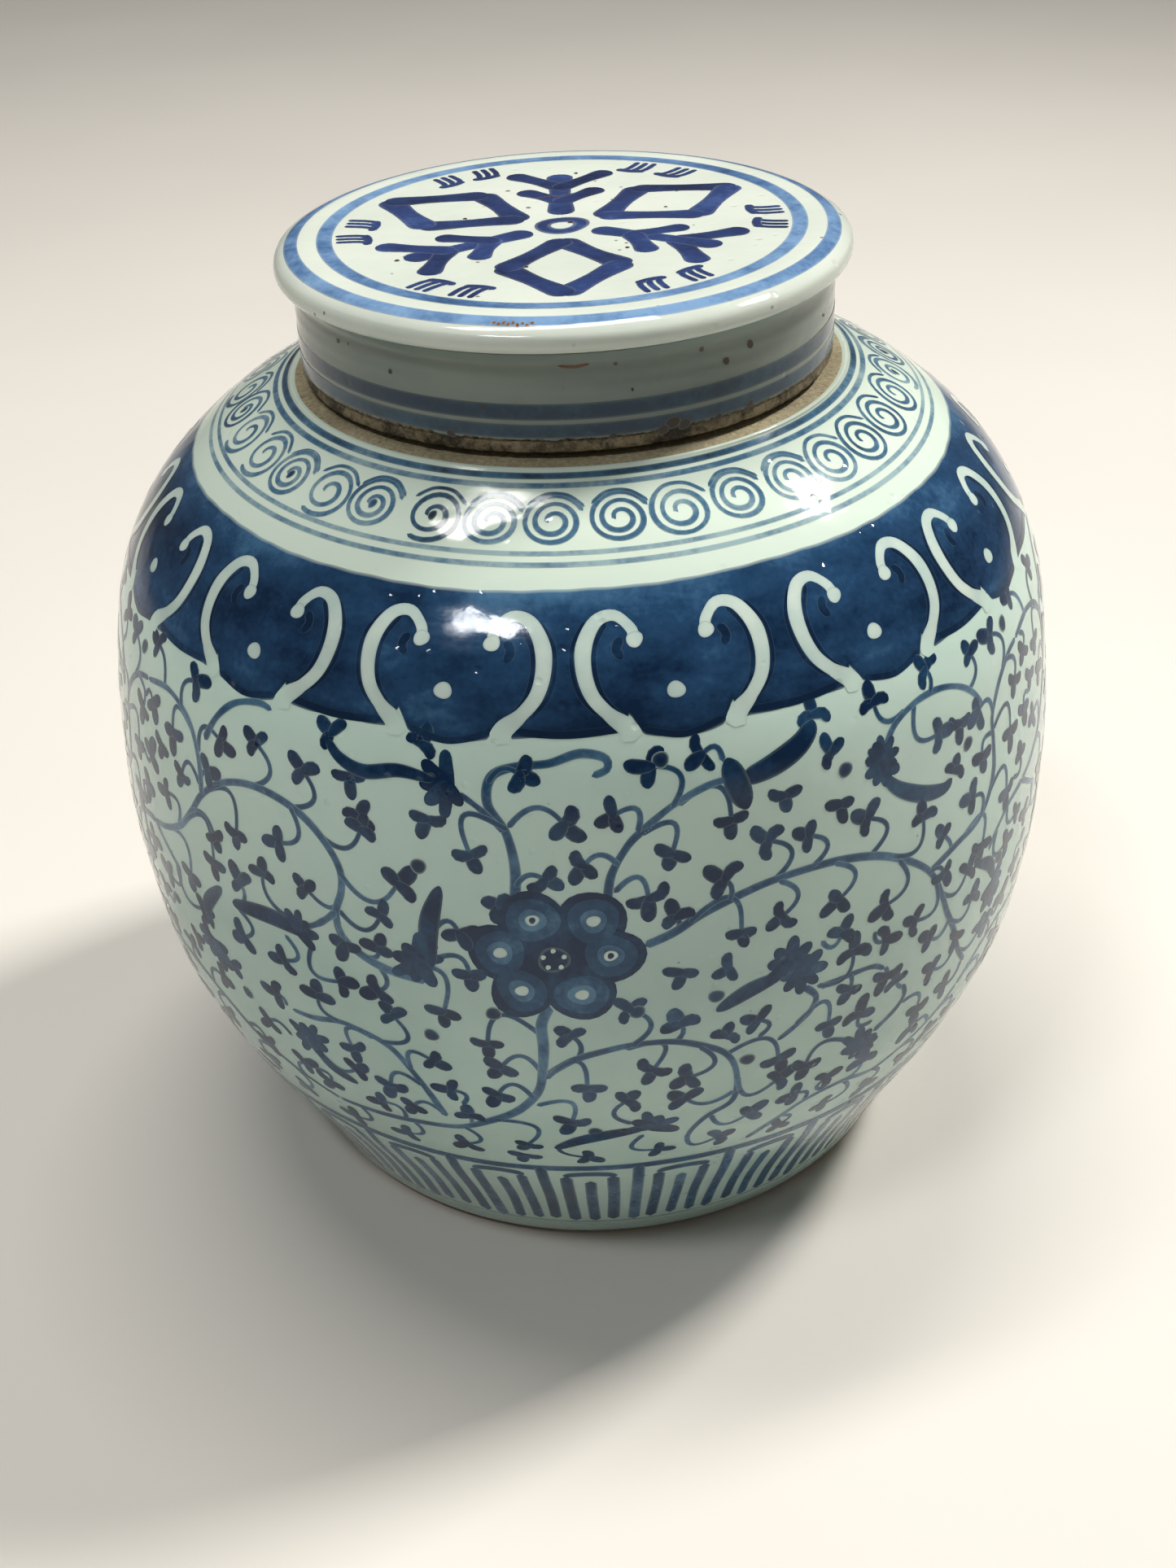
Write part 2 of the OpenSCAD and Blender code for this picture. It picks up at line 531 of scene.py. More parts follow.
def lid_glaze(name, base, shade, bare_below=0.0):
    """Off-white glaze with iron specks, over bare clay below a height."""
    n = Nodes(name)
    cloud = n.ramp(n.noise(22, 5), 0.35, 0.68)
    colour = n.mix(cloud, base, shade)
    dots = n.math("MULTIPLY", n.spots(210, 0.07, 0.05), n.ramp(n.noise(60, 2), 0.54, 0.58))
    big = n.math("MULTIPLY", n.spots(75, 0.035, 0.02), n.ramp(n.noise(25, 2), 0.53, 0.57))
    colour = n.mix(n.math("MULTIPLY", dots, 0.75), colour, IRON)
    colour = n.mix(n.math("MULTIPLY", big, 0.85), colour, IRON)
    edge = n.math("ADD", n.height(), n.ramp(n.noise(90, 6, 0.7), 0.3, 0.7, -1.1, 1.1))
    bare = n.ramp(edge, bare_below, bare_below - 0.3)
    clay = n.mix(n.ramp(n.noise(700, 4, 0.7), 0.4, 0.6), (0.16, 0.13, 0.08), (0.012, 0.010, 0.007))
    n.link(n.mix(bare, colour, clay), n.shader.inputs["Base Color"])
    glaze_skin(n, 0.05)
    return n.material


def cobalt(name, paper, pale=COBALT_PALE, middle=COBALT, dark=COBALT_DARK, patch=90, pooling=0.3,
           stretch=(1, 1, 1)):
    """Cobalt under the glaze. Its strength follows the stroke's ink and tone, and pools in patches."""
    n = Nodes(name)
    ink, tone = n.mark("ink"), n.mark("tone")
    pool = n.ramp(n.noise(patch, 5, 0.6, stretch), 0.3, 0.7, -pooling, pooling)
    fine = n.ramp(n.noise(700, 2), 0.3, 0.7, -0.08, 0.08)
    strength = n.math("ADD", n.math("ADD", tone, pool), fine)
    blue = n.mix(n.ramp(strength, 0.0, 0.5), pale, middle)
    blue = n.mix(n.ramp(strength, 0.5, 1.0), blue, dark)
    ground = paper(n) if callable(paper) else paper
    n.link(n.mix(ink, ground, blue), n.shader.inputs["Base Color"])
    glaze_skin(n)
    return n.material


def reserve(name):
    """Glaze left bare inside the wash: its own colour in the middle, blue where it meets the wash."""
    n = Nodes(name)
    ink, tone = n.mark("ink"), n.mark("tone")
    pale = n.mix(n.ramp(n.noise(120, 3), 0.3, 0.7), (0.60, 0.71, 0.64), (0.46, 0.59, 0.55))
    colour = n.mix(ink, n.mix(0.6, pale, COBALT), pale)
    n.link(n.mix(tone, colour, body_paper_with_painted_light(n)), n.shader.inputs["Base Color"])
    glaze_skin(n)
    return n.material


def rust(name, paper):
    """Iron stains, from rusty orange to nearly black by their tone."""
    n = Nodes(name)
    brown = n.mix(n.ramp(n.noise(500, 4), 0.3, 0.7), (0.30, 0.11, 0.03), (0.10, 0.05, 0.02))
    colour = n.mix(n.mark("tone"), brown, (0.012, 0.012, 0.011))
    n.link(n.mix(n.mark("ink"), paper, colour), n.shader.inputs["Base Color"])
    glaze_skin(n, 0.2)
    return n.material


def biscuit(name, light, brown, grime, grime_from, gloss=0.75, glazed_above=None):
    """Unglazed fired clay, gritty and stained, with glaze above a height if one is given."""
    n = Nodes(name)
    colour = n.mix(n.ramp(n.noise(60, 6, 0.65), 0.3, 0.7), light, brown)
    grit = n.ramp(n.noise(900, 3, 0.7), 0.35, 0.65)
    colour = n.mix(n.math("MULTIPLY", grit, 0.45), colour, grime)
    stain = n.ramp(n.noise(130, 6, 0.75), grime_from, grime_from + 0.12)
    colour = n.mix(n.math("MULTIPLY", stain, 0.85), colour, grime)
    rough = n.ramp(grit, 0, 1, gloss, gloss + 0.18)
    if glazed_above is not None:
        edge = n.math("ADD", n.height(), n.ramp(n.noise(70, 3), 0.3, 0.7, -0.5, 0.5))
        glazed = n.ramp(edge, glazed_above, glazed_above + 0.3)
        colour = n.mix(glazed, colour, body_paper_with_painted_light(n))
        rough = n.math("SUBTRACT", rough, n.math("MULTIPLY", glazed, gloss))
    n.link(colour, n.shader.inputs["Base Color"])
    n.link(rough, n.shader.inputs["Roughness"])
    n.bump([(n.noise(260, 5, 0.7), 0.0005), (n.noise(1100, 3, 0.7), 0.0002)])
    return n.material


# ---------------------------------------------------------------- the jar's own pieces
def inward(points, distance):
    """The outline moved square to itself, into the jar."""
    p = np.asarray(points)
    run = np.gradient(p, axis=0)
    out = np.stack([run[:, 1], -run[:, 0]], -1) / np.linalg.norm(run, axis=1, keepdims=True)
    return p - out * distance


def jar_wall():
    """The wall of the body, outside and inside, with a small bead of glaze where it stops at the neck."""
    heights = np.concatenate([np.linspace(FOOT_TOP, 150, 110), np.linspace(150, BODY_H, 75)[1:]])
    outside = [(float(radius(z)), float(z)) for z in heights]
    bead = [(LEDGE_R - 0.1, BODY_H + 0.25), (LEDGE_R - 0.8, BODY_H + 0.35), (LEDGE_R - 1.5, BODY_H + 0.1)]
    inside = inward(smooth(OUTLINE, 8), WALL)
    inside = [tuple(p) for p in inside if p[1] > FLOOR_TOP + 1][::-1]
    ends = [(FOOT_IN, FLOOR_TOP), (FOOT_IN, FOOT_TOP)]
    under = [(NECK_IN, BODY_H - 0.1), (NECK_IN, BODY_H - 4)]

    def shake(a, r, z):
        outer = np.zeros_like(r)
        outer[:len(outside)] = wobble(a[:len(outside)], z[:len(outside)])
        return r + outer, z

    return revolve("jar_wall", outside + bead + under + inside + ends, 300, shake)


def foot_ring():
    """The turned foot, worn on its standing face."""
    rim = arc((FOOT_R - 1.4, 1.4), 1.4, -90, -20, 6)
    outer = [(float(radius(z)), float(z)) for z in np.linspace(2.2, FOOT_TOP, 8)]
    inner = [(FOOT_IN, FOOT_TOP), (FOOT_IN, 5.0), (FOOT_IN + 0.3, 1.6)]
    inner += arc((FOOT_IN + 1.8, 1.5), 1.5, 180, 270, 5)[1:]
    face = along((FOOT_IN + 2.2, 0.0), (FOOT_R - 1.6, 0.0), 0.7)

    def shake(a, r, z):
        chip = 0.12 * np.sin(np.radians(a) * 23) * np.sin(np.radians(a) * 7 + 1)
        low = np.clip(1.2 - z, 0, 1)
        return r + wobble(a, z) * np.clip((r - 80) / 2, 0, 1), z + np.abs(chip) * low

    return revolve("foot_ring_worn", inner + face + rim + outer, 300, shake)


def floor_plate():
    """The floor of the jar: glazed above and below, with faint turning rings and a slight dome."""
    count = 60
    low, high = [], []
    for i in range(count + 1):
        share = i / count
        low.append((FOOT_IN * share, RECESS + 0.9 * (1 - share ** 2) + 0.06 * math.sin(i * 1.3)))
        high.append((FOOT_IN * share, FLOOR_TOP - 0.6 * (1 - share ** 2) + 0.15 * math.sin(i * 0.9)))
    return disc("floor_plate", low + high[::-1], 180)


def slip_band():
    """The band of slip smoothed over the joint inside, with the potter's finger marks."""
    low, high = low_of("seam_band"), top_of("seam_band")
    wall = inward(smooth(OUTLINE, 24), WALL)
    heights = np.linspace(low, high, 15)
    back = [(float(np.interp(z, wall[:, 1], wall[:, 0])) - 0.02, float(z)) for z in heights]
    front = [(r - 2.0 * math.sin(math.pi * i / 14) ** 0.5, z) for i, (r, z) in enumerate(back)]
    front = front[1:-1]

    def shake(a, r, z):
        marks = np.zeros_like(r)
        marks[len(back):] = 0.35 * np.sin(np.radians(a[len(back):]) * 26 + z[len(back):] * 0.5)
        return r + marks, z

    return revolve("slip_band", back + front[::-1], 260, shake)


def neck_collar():
    """The bare ledge and the upright neck, with fine throwing rings and a rounded lip."""
    foot = BODY_H + 1.2
    corners = [(NECK_IN, BODY_H), (LEDGE_R - 1.0, BODY_H)]
    ledge = along((LEDGE_R - 1.0, BODY_H + 0.05), (NECK_R + 3, foot), 0.8)
    cove = arc((NECK_R + 3, foot + 3), 3, 270, 180, 8)
    wall = along((NECK_R, foot + 3), (NECK_R, NECK_TOP - 2), 0.8)
    lip = arc((NECK_R - 2, NECK_TOP - 2), 2, 0, 90, 6) + arc((NECK_IN + 2, NECK_TOP - 2), 2, 90, 180, 6)
    bore = along((NECK_IN, NECK_TOP - 2), (NECK_IN, BODY_H), 0.9)[1:]

    def shake(a, r, z):
        rings = 0.12 * np.sin(z * 2.4 + np.radians(a)) * np.clip((z - foot) / 4, 0, 1)
        grit = 0.05 * np.sin(np.radians(a) * 41 + r * 5) * np.clip((r - NECK_R) / 3, 0, 1)
        return r + rings, z + grit

    return revolve("neck_collar", corners + ledge + cove + wall + lip + bore, 300, shake)


# ---------------------------------------------------------------- the lid's own pieces
# The flange's rounded edge and its underside, from (FLANGE_R, LID_TOP) and from (FLANGE_R, PLATE_LOW)
FLANGE_EDGE = [(-1.0, -2.1), (-0.4, -3.0), (-0.15, -4.0), (-0.2, -5.0), (-0.6, -5.8)]
FLANGE_UNDER = [(-1.4, 0.75), (-2.4, 0.45), (-3.3, 0.2)]


def lid_plate():
    """The plate of the lid: a flat top, a thick rounded flange, and a cove down to the skirt."""
    count = 70
    top = [(r, float(lid_height(r))) for r in np.linspace(0, FLANGE_R - 2.9, count + 1)]
    edge = [(FLANGE_R + out, LID_TOP + up) for out, up in FLANGE_EDGE]
    under = [(FLANGE_R + out, PLATE_LOW + up) for out, up in FLANGE_UNDER] + [(SKIRT_R - 0.3, PLATE_LOW)]
    flat = [(r, PLATE_LOW) for r in np.linspace(0, SKIRT_R - 2, 24)]

    def shake(a, r, z):
        t = np.radians(a)
        out = np.clip((r - FLANGE_R + 2.8) / 2, 0, 1)
        on_top = z > LID_TOP - 2.5
        return r + 0.12 * out * np.sin(2 * t + 1) + 0.06 * out * np.sin(5 * t), z + lid_warp(t, r) * on_top

    return disc("lid_plate", flat + under[::-1] + edge[::-1] + top[::-1], 360, shake)


def lid_side():
    """The upright side of the lid, with faint throwing rings and a cove under the flange."""
    outside = [(SKIRT_R, z) for z in np.linspace(RIM_TOP, PLATE_LOW - 3, 34)]
    cove = [(SKIRT_R + 0.9 * (i / 8) ** 2, PLATE_LOW - 3 + 3.0 * i / 8) for i in range(1, 9)]
    inside = [(SKIRT_IN, z) for z in np.linspace(PLATE_LOW, RIM_TOP, 30)]

    def shake(a, r, z):
        t = np.radians(a)
        return r + 0.03 * np.sin(z * 1.9 + 2 * t), z

    return revolve("lid_side", outside + cove + inside, 360, shake)


def lid_edge():
    """The bare lower edge of the lid, gritty and slightly chipped."""
    low = LID_LOW
    corners = [(SKIRT_IN, RIM_TOP), (SKIRT_IN, low + 0.9), (SKIRT_IN + 0.9, low), (SKIRT_R - 1.0, low),
               (SKIRT_R - 0.35, low + 0.3), (SKIRT_R - 0.05, low + 1.0), (SKIRT_R - 0.05, RIM_TOP)]

    def shake(a, r, z):
        t = np.radians(a)
        bite = 0.16 * np.sin(37 * t) * np.sin(11 * t + 1) + 0.1 * np.sin(83 * t + 2)
        depth = np.abs(bite)
        return r - depth * np.clip(r - SKIRT_R + 1.2, 0, 1), z + depth * np.clip(low + 0.8 - z, 0, 1)

    return revolve("lid_edge", path_of(corners, 0.5), 420, shake)


# ---------------------------------------------------------------- painting: shoulder
SPIRALS = 36
HEARTS = 14
HEART_FIRST = 10.5
HEART_STEP = 360 / HEARTS
WASH_LOW, WASH_HIGH = 165.0, 188.1
SPIRAL_AT = 196.9

# Rings round the shoulder: height, width, tone, and how far they stray
SHOULDER_RINGS = [(202.35, 1.7, 0.66, 0.05), (201.15, 1.5, 0.36, 0.06), (193.0, 1.1, 0.12, 0.12),
                  (191.4, 1.2, 0.14, 0.12)]

# The right half of a heart, from its middle: (angle, height)
HEART_SIDE = [(4.3, 180.2), (4.6, 182.2), (6.4, 184.2), (8.7, 183.5), (10.2, 180.2), (10.4, 176.2),
              (9.6, 172.0), (7.8, 168.6), (6.1, 166.2), (5.5, 163.6)]


def spiral_band(paint):
    """A chain of running spirals between rings, from the glaze edge down to the wash."""
    angles = range(180, 541, 3)
    for z, width, tone, drift in SHOULDER_RINGS:
        ring = [(a, z + drift * math.sin(math.radians(a + z * 31))) for a in angles]
        tones = [tone + 0.12 * math.sin(math.radians(a * 3 + z * 50)) for a in angles]
        paint.stroke(ring, width, tones, step=1.6, curved=False, closed=True)
    for i in range(SPIRALS):
        angle = i * 360 / SPIRALS - 3 + CHANCE.uniform(-0.5, 0.5)
        centre = (angle, SPIRAL_AT + CHANCE.uniform(-0.12, 0.12))
        turns = CHANCE.choice([1.9, 2.2, 2.5])
        paint_spiral(paint, centre, turns, 0.34 + CHANCE.uniform(0, 0.26))


def paint_spiral(paint, centre, turns, tone):
    """One spiral, from a dark eye outwards, and a short sweep that runs over it to its neighbour."""
    angle, z = centre
    ka, kz = jar_scale(z)
    count = int(turns * 22)
    path = []
    for k in range(count + 1):
        t = k / count
        r = 1.0 + 5.6 * t ** 0.85
        q = math.radians(200) - t * turns * 2 * math.pi
        path.append((angle + r * math.cos(q) / ka, z + r * math.sin(q) / kz))
    paint.stroke(path, 1.2, tone, step=0.7, curved=False, swell=lambda s: 0.85 + 0.3 * np.sin(s * 9) ** 2)
    if CHANCE.random() < 0.45:
        paint.blob(centre, (0.9, 1.3), 0.85, turn=-20, extra=0.004)
    sweep = [(-4.2, 1.9), (-1.5, 3.2), (2.2, 3.1), (5.0, 1.6)]
    paint.stroke([(angle + da, z + dz) for da, dz in sweep], 0.95, tone + 0.05)


def heart_centres():
    return [HEART_FIRST + i * HEART_STEP + 0.5 * math.sin(i * 2.1) for i in range(HEARTS)]


def shoulder_wash(paint):
    """The deep blue wash of the shoulder. Its lower edge dips a little under each heart."""
    angles = np.arange(0, 360, 0.25)
    offset = np.min(np.abs((angles[:, None] - np.array(heart_centres())[None, :] + 180) % 360 - 180), axis=1)
    a = np.radians(angles)
    dip = np.where(offset < 5, 1.6 * np.cos(np.clip(offset / 5, 0, 1) * math.pi / 2), 0)
    notch = 3.4 * np.clip(1 - np.abs(offset - 5.7) / 1.3, 0, 1)
    lows = WASH_LOW - dip + notch + 0.3 * np.sin(a * 31) * np.sin(a * 17 + 1)
    tops = WASH_HIGH + 0.12 * np.sin(a * 5) + 0.08 * np.sin(a * 13 + 2) + 0.04 * np.sin(a * 61)
    tones = np.interp(np.linspace(0, 1, 48), [0, 0.1, 0.6, 0.86, 1], [0.85, 0.6, 0.66, 0.5, 0.3])
    paint.sheet(angles, tops, lows, 48, tones, (0.75, 0.4))


def heart_swell(s):
    return np.interp(s, [0, 0.12, 0.45, 0.8, 1], [0.75, 0.68, 1.05, 0.85, 1.5])


def hearts(white, blue):
    """White hearts reserved in the wash: two hooks that curl in at the top, and a dot in the middle."""
    for centre in heart_centres():
        for side in (-1, 1):
            shift = CHANCE.uniform(-0.25, 0.25)
            path = [(centre + side * a, z + shift) for a, z in HEART_SIDE]
            fade = np.interp(np.linspace(0, 1, 60), [0, 0.86, 0.95, 1], [0, 0, 1, 1])
            white.stroke(path, 3.2, fade, swell=heart_swell)
            white.blob((centre + side * 4.3, 180.4), (1.7, 1.7), 0.0)
            curl = [(centre + side * 5.9, 180.8), (centre + side * 6.6, 179.2), (centre + side * 6.0, 177.6)]
            blue.stroke(curl, 2.2, 0.95, edge=0.3)
            outline = [(centre + side * (a - 1.25), z - 0.3) for a, z in HEART_SIDE[3:9]]
            blue.stroke(outline, 1.1, 0.9, edge=0.3)
            outer = [(centre + side * (a + 1.3), z) for a, z in HEART_SIDE[3:8]]
            blue.stroke(outer, 1.0, 0.86, edge=0.3)
        dot = (centre - 0.4 + CHANCE.uniform(-0.6, 0.4), 172.4 + CHANCE.uniform(-0.8, 1))
        white.blob(dot, (1.9, 1.7), 0.0, turn=20)
        corner = centre + HEART_STEP / 2
        blue.stroke([(corner - 5.6, 166.1), (corner, 165.5), (corner + 5.6, 166.1)], 1.7, 0.92, edge=0.35)
        blue.stroke([(centre - 4.4, 165.6), (centre, 163.9), (centre + 4.4, 165.6)], 1.5, 0.9, edge=0.35)


# ---------------------------------------------------------------- painting: foot
FRET_BARS = 116


def fret_band(paint):
    """The fret at the foot: a line, then bars in fours, the first free and the other three under one hood."""
    full = [(a, 44.6 + 0.3 * math.sin(math.radians(a * 7))) for a in range(180, 541, 3)]
    paint.stroke(full, 3.0, 0.5, step=1.8, curved=False, closed=True)
    for i in range(FRET_BARS):
        angle = 4.1 + i * 360 / FRET_BARS + CHANCE.uniform(-0.15, 0.15)
        lean = CHANCE.uniform(-0.2, 0.2)
        part = i % 4
        top = {0: 45.0, 1: 39.6, 2: 36.6, 3: 39.6}[part]
        low = 9.5 + CHANCE.uniform(-1.2, 1.0)
        bar = [(angle, top), (angle + lean, (top + low) / 2), (angle - lean * 0.5, low)]
        paint.stroke(bar, 2.9 + CHANCE.uniform(-0.3, 0.3), 0.5 + CHANCE.uniform(-0.12, 0.2), step=1.3)
        if part == 2:
            gap = 360 / FRET_BARS
            hood = [(-gap, 39.2), (-gap + 0.5, 40.6), (0, 41.2), (gap - 0.5, 40.6), (gap, 39.2)]
            paint.stroke([(angle + a, z) for a, z in hood], 2.8, 0.58)


# ---------------------------------------------------------------- painting: vines
SECTOR = 120.0
SECTORS = 3
GAP_LOW, GAP_HIGH = 51.0, 161.0
GAP_STEP = 3.5
GAP_CLEAR = 4.3

# Main stems in one third of the jar: width, then points as (angle, height)
STEMS = [
    (2.1, [(-8, 130), (-7.8, 138), (-8.6, 146), (-10.4, 152), (-10, 157.5), (-7.6, 159.6), (-4, 160.3),
           (-0.8, 162), (1.8, 161), (2, 158.8), (0.4, 157.6)]),
    (1.5, [(-8.6, 146), (-11, 150.5), (-13.5, 154)]),
    (1.8, [(1.4, 130), (1.9, 136), (3.4, 141.5), (5, 145), (8.4, 150), (12, 153), (15, 154)]),
    (2.0, [(5, 118.6), (8, 121), (11, 124.5), (15, 127.3), (19, 129), (24, 129.3), (28, 128.3),
           (32, 125.8), (35.5, 121.8), (38.6, 116.8), (40.4, 112), (41.8, 106), (43, 100), (44.8, 93),
           (46.6, 85), (49, 78)]),
    (1.8, [(39.4, 115), (44, 117.6), (48, 119.2), (50.4, 123.2), (51.8, 129), (52, 136), (52, 142),
           (54, 148), (57, 152), (60, 153.5)]),
    (1.6, [(33, 149), (35, 154), (38.6, 156.6), (42.6, 156.6), (46, 154.4), (48.4, 151), (50, 147)]),
    (2.3, [(-5, 104), (-6, 99), (-6, 92), (-6.3, 85), (-6.8, 79), (-8, 74.5), (-10, 70), (-13, 66),
           (-17, 61.5), (-22, 59.8), (-28, 58.4), (-34, 58)]),
    (1.8, [(-5.8, 83.5), (-3, 88), (0.4, 90.6), (4, 92), (8, 91.4), (11.4, 88.4), (13.6, 85),
           (14.8, 80), (15.2, 73), (14.6, 68), (12, 64.5), (10.4, 60), (9.8, 56)]),
    (2.0, [(-18, 108), (-22, 109), (-25.4, 111.6), (-27.6, 115.5), (-28, 121), (-27.1, 127),
           (-27.2, 132.4), (-29, 138), (-32, 142.6), (-36, 144.8), (-40, 144.5), (-44, 141.5),
           (-47.4, 136), (-49.6, 130), (-52.6, 123.4), (-56.5, 119), (-60, 117)]),
    (1.7, [(-47.4, 136), (-47.6, 143), (-48.8, 149.6), (-51, 153.6), (-55, 155.4), (-60, 153.5)]),
    (1.7, [(-46.6, 150), (-44.6, 156.6), (-42, 161), (-38.6, 163), (-36.4, 162.6)]),
    (1.7, [(-28, 121), (-30.4, 116.6), (-33, 113.6)]),
    (1.8, [(-18.4, 65), (-19.6, 72), (-21.4, 79.5), (-24, 86.4), (-29, 89.4), (-33.4, 87.4), (-36.6, 87)]),
    (1.7, [(22.4, 99), (24, 95), (23.4, 91), (21.4, 87.4), (19.6, 85)]),
    (1.6, [(24.4, 97.2), (28, 97.4), (31.4, 96.8), (33.2, 94.4)]),
    (1.7, [(33, 75), (36, 78.4), (37.2, 82), (36.6, 86)]),
    (1.6, [(-60, 117), (-57, 113), (-54, 109.5)]),
    (1.6, [(60, 117), (56, 115.4), (53, 112), (51, 108)]),
    (1.7, [(18, 48.5), (21.4, 54), (25, 59), (30, 60.4), (35, 58), (39, 60), (44, 64), (49, 70)]),
    (1.7, [(49, 70), (53, 76), (57, 79), (60, 79.6)]),
    (1.7, [(-60, 79.6), (-55, 78), (-50, 74), (-46, 69), (-40, 63), (-34, 58)]),
]

